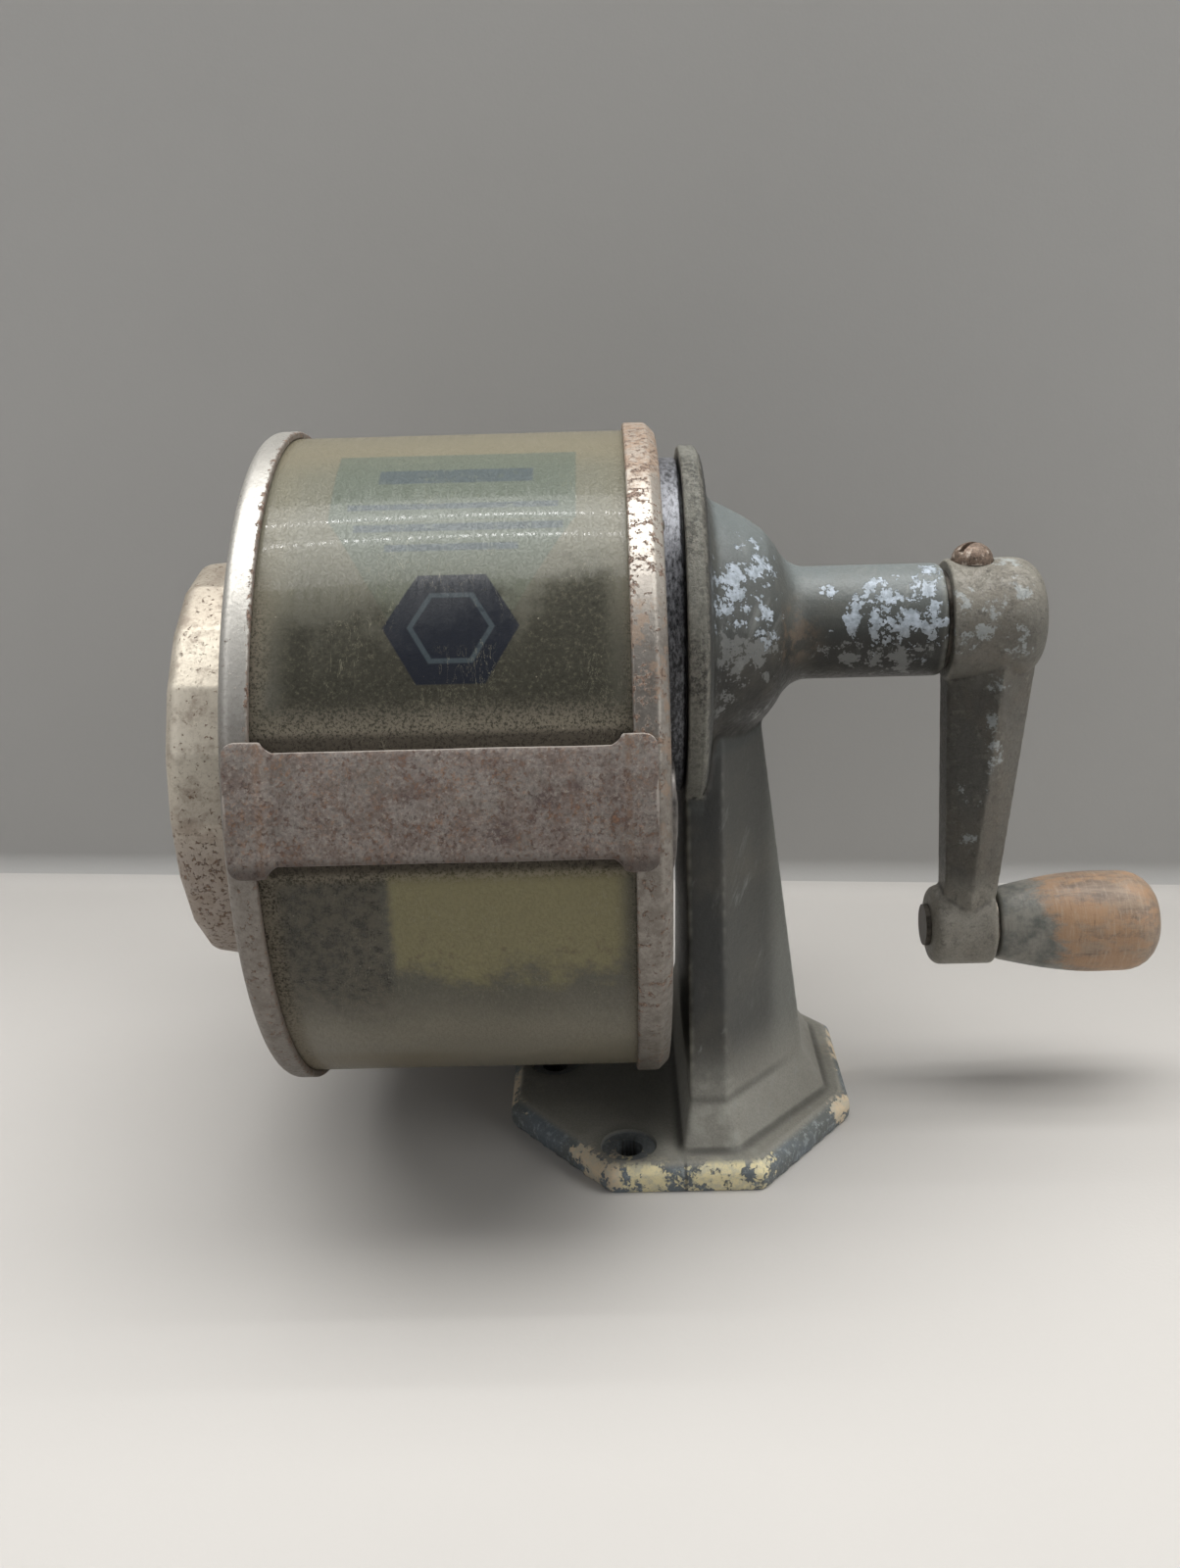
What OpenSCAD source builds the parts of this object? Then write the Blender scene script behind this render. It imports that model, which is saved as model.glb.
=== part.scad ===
// Hand-cranked pencil sharpener on a cast stand.
// Origin: centre of the base plate's underside. +X runs along the shaft to the crank, +Z is up.

/* [Base plate] */
// Length of the octagonal plate along the shaft
base_len = 50.8; // [46:0.1:60]
// Width of the plate across the shaft
base_wid = 59.2; // [54:0.1:70]
// Thickness of the plate
base_thick = 4; // [3:0.1:6]
// Length that each corner cut takes off along the shaft
corner_cut_x = 14.6; // [12:0.1:17]
// Length that each corner cut takes off across the shaft
corner_cut_y = 18.1; // [15:0.1:20]
// Height of the bevel on the plate's upper edge
base_bevel = 1.3; // [0.5:0.1:2]
// Diameter of the wood-screw holes
screw_hole_d = 4.0; // [3.2:0.1:5]
// Diameter of the shallow dish around each screw hole
screw_dish_d = 8.4; // [6.5:0.1:9]
// Distance from the plate's front edge to the pair of screw holes
screw_inset = 17.4; // [15:0.1:19]
// Spacing of the pair of screw holes across the shaft
screw_spacing = 47.2; // [43:0.1:50]
// Distance from the plate's front edge to the single screw hole
front_screw_inset = 6.4; // [5.8:0.1:8]

/* [Pedestal] */
// Height of the crease where the foot's skirt begins
foot_h = 9.7; // [8:0.1:12]
// Width of the pedestal at the foot crease
foot_wid = 45.6; // [40:0.1:48]
// Depth of the pedestal at the foot crease
foot_depth = 17.7; // [15:0.1:20]
// Width of the pedestal where it enters the bell
waist_wid = 21.8; // [18:0.1:25]
// Depth of the pedestal where it enters the bell
waist_depth = 10.6; // [9:0.1:13]
// Depth of the flat side facets of the pedestal
side_facet = 5.2; // [4:0.1:6]
// Spread of the skirt between its crease and the plate
skirt_flare = 3.6; // [2.5:0.1:4]
// Wall of the hollow casting
cast_wall = 3; // [2.2:0.1:4]

/* [Shaft, bell and neck] */
// Gap between the base plate and the receptacle that hangs over it
drum_gap = 5.5; // [4.6:0.1:12]
// Distance from the shaft axis down to the top of the pedestal's taper
waist_drop = 7.5; // [6:0.1:9]
// Distance from the base centre to the flange's front face
flange_x = 0.85; // [0.5:0.05:1.5]
// Radius of the flange
flange_r = 24.9; // [24.2:0.1:26]
// Thickness of the flange's outer lip
flange_thick = 2.2; // [1.6:0.1:2.8]
// Largest radius of the bell behind the flange
bell_r = 17.5; // [17:0.1:19]
// Length of the bell from the flange to the neck
bell_len = 17; // [16:0.1:20]
// Radius of the neck
neck_r = 7.9; // [7.6:0.1:9]
// Length of the neck behind the bell
neck_len = 19.6; // [17:0.1:24]
// Radius of the spindle
spindle_r = 3.97; // [3.5:0.01:4.2]
// Running clearance of the spindle in its bushes
spindle_fit = 0.05; // [0.02:0.01:0.09]
// Wall of the two bushes
bush_wall = 1.5; // [1.2:0.05:1.8]
// Length of each bush
bush_len = 9; // [7:0.1:10]

/* [Receptacle] */
// Outer radius of the rims of the caps
rim_r = 46; // [45:0.1:47]
// Length of the receptacle over both caps
drum_len = 52.8; // [52:0.1:60]
// Width of the front cap's rim
front_rim_w = 3.8; // [3:0.1:5]
// Width of the rear cap's rim
rear_rim_w = 4.4; // [3.6:0.1:5.5]
// Thickness of the pressed sheet metal
sheet = 1.0; // [0.7:0.05:1.2]
// Radius of the front cap's rounded corner
cap_corner = 1.7; // [1.5:0.1:3]
// Thickness of the transparent drum
drum_wall = 0.9; // [0.6:0.05:1.2]
// Width of the front cap's raised middle that shows around the dial
plateau_edge = 1.8; // [1:0.1:3]
// Height of the raised middle of the front cap
plateau_h = 2.0; // [1.5:0.1:2.6]
// Radius of the pencil hole in the front cap
cap_hole_r = 6.8; // [6.2:0.1:7.2]
// Gap between the rear cap and the stand's flange
collar_gap = 3.05; // [2.6:0.05:3.6]
// Radius of the mounting collar
collar_r = 23.3; // [23:0.05:23.6]
// Wall of the mounting collar
collar_wall = 1.5; // [1.2:0.05:1.7]
// Width of the lip that rivets the collar to the rear cap
collar_lip = 2.3; // [2.1:0.1:3]
// Gap between that lip and the inside of the drum
collar_edge = 0.48; // [0.3:0.02:1]
// Length of a strap's end on the rim beyond the rim's inner edge
strap_fold = 1.6; // [1:0.1:2.5]
// Distance from the front cap's face to the straps' ends
strap_front = 0.7; // [0.4:0.1:1.2]
// Distance from the rear cap's face to the straps' ends
strap_rear = 1.6; // [1.2:0.1:2]
// Width of the straps between the rims
strap_wid = 13.7; // [11:0.1:16]
// Width of the strap ends on the rims
strap_tab_wid = 16.2; // [14:0.1:20]
// Thickness of the straps
strap_thick = 0.7; // [0.5:0.05:1]
// Angle of each strap above the level of the drum's axis
strap_lift = 10.5; // [0:0.5:20]

/* [Size dial] */
// Metal between the largest pencil hole and the dial's corners
dial_margin = 5.15; // [4.5:0.05:5.6]
// Depth of the dial
dial_depth = 8.9; // [8:0.1:12]
// Number of flats around the dial
dial_flats = 20; // [16:2:24]
// Number of pencil holes
dial_holes = 6; // [4:1:6]
// Diameter of the smallest pencil hole
dial_hole_min = 7.0; // [6:0.1:7.4]
// Diameter of the largest pencil hole
dial_hole_max = 10.5; // [8.5:0.1:10.8]

/* [Cutter head] */
// Module of the gears
gear_module = 0.8; // [0.76:0.01:0.82]
// Teeth of the fixed internal gear
ring_teeth = 28; // [28:2:28]
// Teeth of each pinion
pinion_teeth = 12; // [12:2:12]
// Face width of the pinions
pinion_face = 3; // [2.4:0.1:3.2]
// Tilt of each cutter's axis, half the angle of a pencil point
cutter_tilt = 9.5; // [9:0.1:10]
// Radius of the cutters
cutter_r = 6.95; // [6.3:0.05:7]
// Length of the cutters
cutter_len = 31; // [26:0.5:32]
// Blades on each cutter
cutter_blades = 12; // [8:1:14]
// Radius of the cutters' arbor pins
arbor_r = 1.6; // [1.3:0.05:1.8]
// Outer radius of the fixed internal gear
ring_r = 14.6; // [14.2:0.05:14.8]

/* [Crank] */
// Distance from the shaft axis to the knob axis
crank_throw = 47.3; // [42:0.1:55]
// Radius of the crank's hub
hub_r = 8.45; // [8:0.05:9]
// Length of the crank's hub
hub_len = 13.5; // [12:0.1:15]
// Radius of the boss at the lower end of the arm
boss_r = 6.0; // [5.5:0.1:6.5]
// Length of that boss
boss_len = 9.4; // [8.6:0.1:11]
// Length of the wooden knob
knob_len = 24.5; // [20:0.1:30]
// Largest radius of the knob
knob_r = 7.6; // [7:0.1:9]
// Radius of the stud that the knob turns on
stud_r = 2.2; // [1.8:0.05:2.6]
// Radius of the hub screw's head
hub_screw_r = 2.85; // [2.4:0.05:3]

/* [Hidden] */
$fn = 96;

// Clearances
slip = 0.3;            // between bodies that move past each other
seat = 0.02;           // between pieces pressed or riveted together
pin_fit = 0.05;        // radial running fit of cutters and knob on their pins
past = 1;              // how far a cutting shape runs past the face it cuts

// The collar lies just inside the drum's rim, so it sets how far the receptacle hangs below the shaft
cap_inner_r = rim_r - sheet;
drum_r = cap_inner_r - seat;
drum_drop = drum_r - drum_wall - collar_r - collar_lip - collar_edge;
drum_h = base_thick + drum_gap + rim_r;
shaft_h = drum_h + drum_drop;

// Levels and planes
neck_x = flange_x + bell_len;
neck_end = neck_x + neck_len;
rear_face = flange_x - collar_gap;
front_face = rear_face - drum_len;
plateau_x = front_face - plateau_h;
dial_gap = 0.6;
dial_x = plateau_x - dial_gap - dial_depth;
dial_plate = 1.2;
waist_h = shaft_h - waist_drop;

// Sizes that follow from the driving ones
bush_r = spindle_r + spindle_fit + bush_wall;
nose_r = spindle_r - 0.8;
dial_r = drum_drop + dial_hole_max / 2 + dial_margin;
dial_hole_step = (dial_hole_max - dial_hole_min) / (dial_holes - 1);
plateau_r = dial_r + plateau_edge;
collar_bore = collar_r - collar_wall;
spigot_r = collar_bore - slip;
spigot_wall = 2.8;
spigot_len = collar_gap + 1.8;
ring_pitch = gear_module * ring_teeth / 2;
pinion_pitch = gear_module * pinion_teeth / 2;
gear_offset = ring_pitch - pinion_pitch;
addendum = 0.75 * gear_module;
dedendum = 1.15 * gear_module;
ring_len = 5;
ring_x = flange_x + 0.2;
pinion_x = ring_x + ring_len / 2;
head_x = ring_x + ring_len;
head_gap = 0.45;
disc_r = ring_pitch - addendum - 0.4;
disc_thick = 4;
disc_x = head_x + head_gap;
disc_end = disc_x + disc_thick;
shoulder_thick = 0.6;
cavity_end = disc_end + shoulder_thick + 0.15;
cutter_start = (ring_len / 2 + slip + cutter_r * sin(cutter_tilt)) / cos(cutter_tilt);
yoke_thick = 4;
yoke_x = pinion_x - (cutter_start + cutter_len) * cos(cutter_tilt) - cutter_r * sin(cutter_tilt) - 0.6;
guide_play = 0.5;
guide_r = dial_hole_max / 2 + guide_play;
guide_len = 14;
washer_thick = 0.5;
hub_x = neck_end + washer_thick + 0.1;
hub_end = hub_x + hub_len;
knob_h = shaft_h - crank_throw;
boss_x = hub_x + 0.1;
boss_end = boss_x + boss_len;
knob_x = boss_end + washer_thick;
knob_end = knob_x + knob_len;
stud_head_r = 3.6;
screw_x = hub_x + 3.6;

function mirrored(pts) = concat(pts, [for (i = [len(pts) - 1:-1:0]) [pts[i][0], -pts[i][1]]]);

// Plan of the plate, an octagon with its corners cut
function plate_pts(grow) =
    let (hx = base_len / 2 + grow, hy = base_wid / 2 + grow)
    mirrored([[-hx, hy - corner_cut_y], [corner_cut_x - hx, hy],
        [hx - corner_cut_x, hy], [hx, hy - corner_cut_y]]);

// Plan of the pedestal: flat front, side facets, diagonals and a narrow back
function pedestal_pts(wid, depth, grow) =
    let (x0 = flange_x - grow * 0.35, hw = wid / 2 + grow, back = 0.38 * wid / 2 + grow * 0.4)
    mirrored([[x0, hw], [flange_x + side_facet + grow * 0.4, hw], [flange_x + depth + grow, back]]);

// Closed outline of gear teeth: k = 1 makes them point outwards, k = -1 inwards
function gear_pts(teeth, pitch_r, k) =
    let (step = 360 / teeth, half = 0.42 * 180 / teeth, lean = tan(20) * 180 / PI / pitch_r)
    let (root = pitch_r - k * dedendum, tip = pitch_r + k * addendum)
    [for (i = [0:teeth - 1]) for (p = [
        [root, -half - lean * dedendum], [tip, -half + lean * addendum],
        [tip, half - lean * addendum], [root, half + lean * dedendum]])
        let (a = i * step + p[1] + (k > 0 ? 0 : step / 2)) [p[0] * cos(a), p[0] * sin(a)]];

// Places its children on the shaft axis, their own Z along +X
module on_shaft(x = 0) {
    translate([x, 0, shaft_h]) rotate([0, 90, 0]) children();
}

// Places its children on the receptacle's axis, their own Z along +X
module on_drum(x = 0) {
    translate([x, 0, drum_h]) rotate([0, 90, 0]) children();
}

module on_knob(x = 0) {
    translate([x, 0, knob_h]) rotate([0, 90, 0]) children();
}

// Places its children on cutter k's axis at the middle of its pinion
module on_cutter(k) {
    translate([pinion_x, 0, shaft_h]) rotate([180 * k, 0, 0])
        translate([0, 0, gear_offset]) rotate([0, 90 + cutter_tilt, 0]) children();
}

module tube(outer, inner, len) {
    difference() {
        cylinder(r = outer, h = len);
        translate([0, 0, -past]) cylinder(r = inner, h = len + 2 * past);
    }
}

module base_plate() {
    linear_extrude(base_thick - base_bevel) polygon(plate_pts(0));
    hull() {
        translate([0, 0, base_thick - base_bevel - 0.01]) linear_extrude(0.01) polygon(plate_pts(0));
        translate([0, 0, base_thick - 0.01]) linear_extrude(0.01) polygon(plate_pts(-base_bevel));
    }
}

module loft(low_h, high_h, low, high, inset = 0) {
    hull() {
        translate([0, 0, low_h]) linear_extrude(0.01) offset(delta = -inset) polygon(low);
        translate([0, 0, high_h - 0.01]) linear_extrude(0.01) offset(delta = -inset) polygon(high);
    }
}

module pedestal() {
    loft(foot_h, waist_h, pedestal_pts(foot_wid, foot_depth, 0), pedestal_pts(waist_wid, waist_depth, 0));
    loft(base_thick - 0.1, foot_h + 0.01,
        pedestal_pts(foot_wid, foot_depth, skirt_flare), pedestal_pts(foot_wid, foot_depth, 0));
}

// The casting is open underneath, with a wall all round and a roof under the bell
module pedestal_hollow() {
    roof_h = shaft_h - bell_r - cast_wall;
    share = (roof_h - foot_h) / (waist_h - foot_h);
    roof_wid = foot_wid + (waist_wid - foot_wid) * share;
    roof_depth = foot_depth + (waist_depth - foot_depth) * share;
    loft(-past, roof_h, pedestal_pts(foot_wid, foot_depth, 0), pedestal_pts(roof_wid, roof_depth, 0), cast_wall);
}

module bell() {
    step_r = flange_r - 0.8;
    on_shaft(flange_x) rotate_extrude() polygon([
        [0, 0], [flange_r, 0], [flange_r, flange_thick], [step_r, flange_thick + 0.15],
        [step_r - 0.2, flange_thick + 0.8], [bell_r + 1, flange_thick + 1.5], [bell_r, flange_thick + 2.1],
        [bell_r - 0.9, 0.37 * bell_len], [bell_r - 2.5, 0.54 * bell_len], [bell_r - 4.3, 0.69 * bell_len],
        [bell_r - 6.2, 0.78 * bell_len], [neck_r + 1.9, 0.83 * bell_len], [neck_r + 0.6, 0.91 * bell_len],
        [neck_r, bell_len], [neck_r, bell_len + neck_len], [0, bell_len + neck_len]]);
    on_shaft(flange_x - spigot_len) cylinder(r = spigot_r, h = spigot_len + 0.5);
}

module bell_hollow() {
    on_shaft(flange_x - spigot_len - past)
        cylinder(r = spigot_r - spigot_wall, h = spigot_len + past);
    on_shaft(flange_x - past) cylinder(r = ring_r + seat, h = head_x - flange_x + past);
    on_shaft(flange_x) cylinder(r = disc_r + 1.2, h = cavity_end - flange_x);
    on_shaft(flange_x) cylinder(r = bush_r + seat, h = bell_len + neck_len + past);
}

module screw_hole(x, y) {
    translate([x, y, -past]) cylinder(d = screw_hole_d, h = base_thick + 2 * past);
    translate([x, y, base_thick - 0.6]) cylinder(d = screw_dish_d, h = past);
}

module stand() {
    color("slategray") difference() {
        union() {
            base_plate();
            pedestal();
            bell();
        }
        bell_hollow();
        pedestal_hollow();
        for (side = [-1, 1]) screw_hole(screw_inset - base_len / 2, side * screw_spacing / 2);
        screw_hole(front_screw_inset - base_len / 2, 0);
    }
}

module ring_gear() {
    color("dimgray") on_shaft(ring_x) linear_extrude(ring_len) difference() {
        circle(r = ring_r);
        polygon(gear_pts(ring_teeth, ring_pitch, -1));
    }
}

module bush() {
    tube(bush_r, spindle_r + spindle_fit, bush_len);
}

module front_bush() {
    color("goldenrod") on_shaft(cavity_end) bush();
}

module rear_bush() {
    color("goldenrod") on_shaft(neck_end - bush_len) bush();
}

// Pressed cap with a rounded corner, its middle raised for the dial
module front_cap() {
    rim = front_rim_w;
    bend_r = cap_corner - sheet;
    arc_r = rim_r - cap_corner;
    color("silver") difference() {
        on_drum(front_face) rotate_extrude() polygon(concat(
            [[0, -plateau_h], [plateau_r - 1, -plateau_h], [plateau_r, 0]],
            [for (a = [-90:15:0]) [arc_r + cap_corner * cos(a), cap_corner + cap_corner * sin(a)]],
            [[rim_r, rim], [cap_inner_r, rim]],
            [for (a = [0:-15:-90]) [arc_r + bend_r * cos(a), cap_corner + bend_r * sin(a)]],
            [[plateau_r - sheet, sheet], [plateau_r - 1 - sheet, sheet - plateau_h], [0, sheet - plateau_h]]));
        on_shaft(plateau_x - past) cylinder(r = cap_hole_r, h = plateau_h + sheet + 2 * past);
        on_drum(plateau_x - past) cylinder(r = rivet_r + seat, h = plateau_h + sheet + 2 * past);
        detent_place() translate([0, 0, -past]) cylinder(r = detent_rivet_r + seat, h = sheet + 2 * past);
    }
}

module rear_cap() {
    bevel = 1.4;
    color("rosybrown") difference() {
        on_drum(rear_face) rotate_extrude() polygon([
            [0, 0], [rim_r - bevel, 0], [rim_r, -bevel], [rim_r, -rear_rim_w], [cap_inner_r, -rear_rim_w],
            [cap_inner_r, -bevel - 0.4 * sheet], [rim_r - bevel - 0.4 * sheet, -sheet], [0, -sheet]]);
        on_shaft(rear_face - sheet - past) cylinder(r = collar_r + seat, h = sheet + 2 * past);
        rivet_ring() translate([0, 0, -past]) cylinder(r = small_rivet_r + seat, h = sheet + 2 * past);
        latch_place() translate([0, 0, -past]) cylinder(r = small_rivet_r + seat, h = sheet + 2 * past);
    }
}

module drum() {
    start = front_face + sheet + 1.8;
    end = rear_face - sheet - 0.9;
    color("darkkhaki") on_drum(start) tube(drum_r, drum_r - drum_wall, end - start);
}

// A strap lies on the drum between the rims and on the rims at its two ends
module strap() {
    tab_left = front_face + strap_front;
    tab_right = rear_face - strap_rear;
    mid_left = front_face + front_rim_w + strap_fold;
    mid_right = rear_face - rear_rim_w - strap_fold;
    half = asin(strap_wid / 2 / rim_r);
    tab_half = asin(strap_tab_wid / 2 / rim_r);
    arc_piece(mid_left - strap_thick, mid_right + strap_thick, drum_r + seat, half);
    for (s = [[tab_left, mid_left], [mid_right, tab_right]]) arc_piece(s[0], s[1], rim_r + seat, tab_half);
    for (x = [mid_left - strap_thick, mid_right]) arc_ring(x, tab_half);
}

module arc_piece(x0, x1, r, half) {
    on_drum(x0) rotate([0, 0, -90 - half]) rotate_extrude(angle = 2 * half)
        translate([r, 0]) square([strap_thick, x1 - x0]);
}

module arc_ring(x, half) {
    on_drum(x) rotate([0, 0, -90 - half]) rotate_extrude(angle = 2 * half)
        translate([drum_r + seat, 0]) square([rim_r - drum_r + strap_thick, strap_thick]);
}

module turned_strap(lift) {
    translate([0, 0, drum_h]) rotate([lift, 0, 0]) translate([0, 0, -drum_h]) strap();
}

module strap_near() {
    color("dimgray") turned_strap(-strap_lift);
}

module strap_far() {
    color("dimgray") mirror([0, 1, 0]) turned_strap(-strap_lift);
}

// Collar on the rear cap that slips over the stand's spigot
small_rivet_r = 0.6;
rivet_count = 4;

module rivet_ring() {
    for (i = [0:rivet_count - 1])
        translate([rear_face - sheet, 0, shaft_h]) rotate([45 + 90 * i, 0, 0])
            translate([0, 0, collar_r + collar_lip / 2]) rotate([0, 90, 0]) children();
}

module mount_collar() {
    back = rear_face - 2 * sheet;
    color("darkslategray") difference() {
        union() {
            on_shaft(back) tube(collar_r, collar_bore, flange_x - slip - back);
            on_shaft(back) tube(collar_r + collar_lip, collar_bore, sheet - seat);
        }
        rivet_ring() translate([0, 0, -sheet - past])
            cylinder(r = small_rivet_r + seat, h = 2 * sheet + past);
    }
}

module small_rivet(stack) {
    head = 0.5;
    translate([0, 0, -stack]) cylinder(r = small_rivet_r, h = stack + 0.01);
    cylinder(r1 = small_rivet_r + 0.45, r2 = small_rivet_r, h = head);
    translate([0, 0, -stack - head]) cylinder(r1 = small_rivet_r, r2 = small_rivet_r + 0.45, h = head);
}

module collar_rivets() {
    color("silver") rivet_ring() translate([0, 0, sheet + seat]) small_rivet(2 * sheet + 2 * seat);
}

// Leaf spring on the back of the rear cap that takes up the play against the pedestal
latch_y = 25;
latch_wid = 12;
latch_high = 14;
latch_thick = 0.8;
latch_gap = 1.1;
latch_rivet_drop = 4;
latch_h = shaft_h - sqrt(pow(collar_r + latch_high / 2 + latch_gap, 2) - pow(latch_y, 2));

module latch_place() {
    translate([rear_face - sheet, -latch_y, latch_h - latch_rivet_drop]) rotate([0, 90, 0]) children();
}

module latch_spring() {
    bump = 0.35;
    bump_d = latch_wid / 2;
    color("lightgray") difference() {
        union() {
            translate([rear_face + seat, -latch_y, latch_h]) rotate([0, 90, 0])
                hull() for (s = [-1, 1]) translate([s * (latch_high - latch_wid) / 2, 0, 0])
                    cylinder(d = latch_wid, h = latch_thick, $fn = 32);
            translate([rear_face + seat + latch_thick - 0.01, -latch_y, latch_h + bump_d / 2])
                rotate([0, 90, 0]) cylinder(d = bump_d, h = bump);
        }
        latch_place() cylinder(r = small_rivet_r + seat, h = sheet + latch_thick + past);
    }
}

module latch_rivet() {
    color("silver") latch_place() translate([0, 0, sheet + latch_thick + seat * 2])
        small_rivet(sheet + latch_thick + 3 * seat);
}

// Dial: a many-sided cup with a ring of pencil holes of growing size
rivet_r = 2.4;
rivet_head_r = 4.6;
spacer_wall = 1.4;
first_hole = 2;
dial_turn = -1.2;      // turn of the flats against the holes

module dial() {
    corner = 2.4;
    shoulder = 0.3 * corner;
    color("lightgray") difference() {
        on_drum(dial_x) rotate([0, 0, dial_turn]) union() {
            translate([0, 0, corner]) linear_extrude(dial_depth - corner) circle(r = dial_r, $fn = dial_flats);
            hull() {
                linear_extrude(0.01) circle(r = dial_r - corner, $fn = dial_flats);
                translate([0, 0, shoulder]) linear_extrude(0.01) circle(r = dial_r - shoulder, $fn = dial_flats);
                translate([0, 0, corner]) linear_extrude(0.01) circle(r = dial_r, $fn = dial_flats);
            }
        }
        on_drum(dial_x + dial_plate) cylinder(r = (dial_r - sheet) * cos(180 / dial_flats), h = dial_depth);
        on_drum(dial_x - past) cylinder(r = rivet_r + pin_fit, h = dial_plate + 2 * past);
        for (i = [0:dial_holes - 1])
            translate([dial_x, 0, drum_h]) rotate([(i - first_hole) * 360 / dial_holes, 0, 0])
                translate([-past, 0, drum_drop]) rotate([0, 90, 0])
                    cylinder(d = dial_hole_min + i * dial_hole_step, h = dial_plate + 2 * past);
    }
}

module dial_rivet() {
    head = 1.4;
    inner = plateau_x + sheet;
    color("silver") union() {
        on_drum(dial_x - washer_gap) cylinder(r = rivet_r, h = inner - dial_x + washer_gap + 0.3);
        on_drum(dial_x - washer_gap - head) cylinder(r1 = rivet_head_r - 1.4, r2 = rivet_head_r, h = head);
        on_drum(inner + seat) cylinder(r1 = rivet_r + 1.4, r2 = rivet_r + 0.6, h = 0.9);
    }
}

washer_gap = 0.8;

module dial_washer() {
    color("gray") on_drum(dial_x - washer_gap + 0.1) tube(rivet_head_r + 1.6, rivet_r + seat, 0.5);
}

module dial_spacer() {
    start = dial_x + dial_plate + 0.1;
    color("gray") on_drum(start) tube(rivet_r + spacer_wall, rivet_r + seat, plateau_x - seat - start);
}

// Leaf that bears on the back of the dial's face and holds it at each hole
detent_rivet_r = 1.0;
detent_drop = 8;
detent_wid = 5;
detent_leaf = 0.5;
detent_nose_r = 0.9;
detent_foot = 4.6;

module detent_place() {
    translate([plateau_x, 0, drum_h - detent_drop]) rotate([0, 90, 0]) children();
}

// Strip of the leaf's width: from, along X and up, and its two lengths
module detent_strip(x, level, thick, high) {
    translate([x, -detent_wid / 2, drum_h - detent_drop - level]) cube([thick, detent_wid, high]);
}

module detent_spring() {
    nose_x = dial_x + dial_plate + slip + detent_nose_r;
    foot_x = plateau_x - detent_leaf - seat;
    bend = 2;
    nose_drop = 4 * detent_nose_r;
    color("lightgray") union() {
        detent_strip(foot_x, bend, detent_leaf, detent_foot);
        hull() {
            detent_strip(foot_x, bend + 0.2, detent_leaf, 0.6);
            detent_strip(nose_x - 0.1, nose_drop + 0.2, detent_leaf - 0.1, 0.6);
        }
        translate([nose_x, detent_wid / 2, drum_h - detent_drop - nose_drop]) rotate([90, 0, 0])
            cylinder(r = detent_nose_r, h = detent_wid);
        detent_place() translate([0, 0, -detent_leaf - 0.6])
            cylinder(r = detent_rivet_r, h = detent_leaf + sheet + 1.2);
    }
}

// Rotating head: a disc behind the pinions, two side bars and a yoke in front
module cutter_carrier() {
    bar_in = cutter_r + 0.95;
    bar_out = disc_r - 0.1;
    bar_high = 6;
    yoke_r = gear_offset + (pinion_x - yoke_x + yoke_thick / 2) * tan(cutter_tilt) + arbor_r + 2.4;
    arbor_reach = 2 * cutter_len;
    color("darkgray") difference() {
        union() {
            on_shaft(disc_x) cylinder(r = disc_r, h = disc_thick);
            for (side = [-1, 1])
                translate([yoke_x - yoke_thick, side * (bar_in + bar_out) / 2 - (bar_out - bar_in) / 2,
                    shaft_h - bar_high / 2])
                    cube([disc_x + 1 - yoke_x + yoke_thick, bar_out - bar_in, bar_high]);
            intersection() {
                on_shaft(yoke_x - yoke_thick) cylinder(r = yoke_r, h = yoke_thick);
                translate([yoke_x - yoke_thick - 1, -bar_out, shaft_h - yoke_r - 1])
                    cube([yoke_thick + 2, 2 * bar_out, 2 * yoke_r + 2]);
            }
        }
        on_shaft(disc_x - past) cylinder(r = nose_r + seat, h = disc_thick + 2 * past);
        on_shaft(yoke_x - yoke_thick - past)
            cylinder(r = guide_r + guide_wall + seat, h = yoke_thick + 2 * past);
        for (k = [0, 1]) on_cutter(k) translate([0, 0, -arbor_reach])
            cylinder(r = arbor_r + seat, h = 1.2 * arbor_reach);
    }
}

guide_wall = 0.8;

// Tube with a flared mouth that steers the pencil between the cutters
module pencil_guide() {
    mouth = 3;
    lip = guide_wall / 2;
    color("gray") on_shaft(yoke_x - guide_len) rotate_extrude() polygon([
        [guide_r + mouth, 0], [guide_r + mouth + guide_wall, lip], [guide_r + guide_wall, mouth + 2.5 * lip],
        [guide_r + guide_wall, guide_len], [guide_r, guide_len], [guide_r, mouth + 1.5 * lip]]);
}

module arbor_pins() {
    front = (pinion_x - yoke_x + yoke_thick) / cos(cutter_tilt);
    back = (disc_end - pinion_x) / cos(cutter_tilt) - 0.6;
    color("silver") for (k = [0, 1]) on_cutter(k)
        translate([0, 0, -front]) cylinder(r = arbor_r, h = front + back);
}

module spindle() {
    tip = hub_end - hub_floor - 0.2;
    color("silver") difference() {
        union() {
            on_shaft(disc_x + 0.5) cylinder(r = nose_r, h = disc_thick);
            on_shaft(disc_end) cylinder(r = spindle_r, h = tip - disc_end);
            on_shaft(disc_end + seat) cylinder(r = bush_r - 0.3, h = shoulder_thick);
        }
        translate([screw_x, 0, shaft_h + spindle_r - hub_screw_deep])
            cylinder(r = hub_screw_thread + seat, h = hub_screw_deep + past);
    }
}

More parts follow.
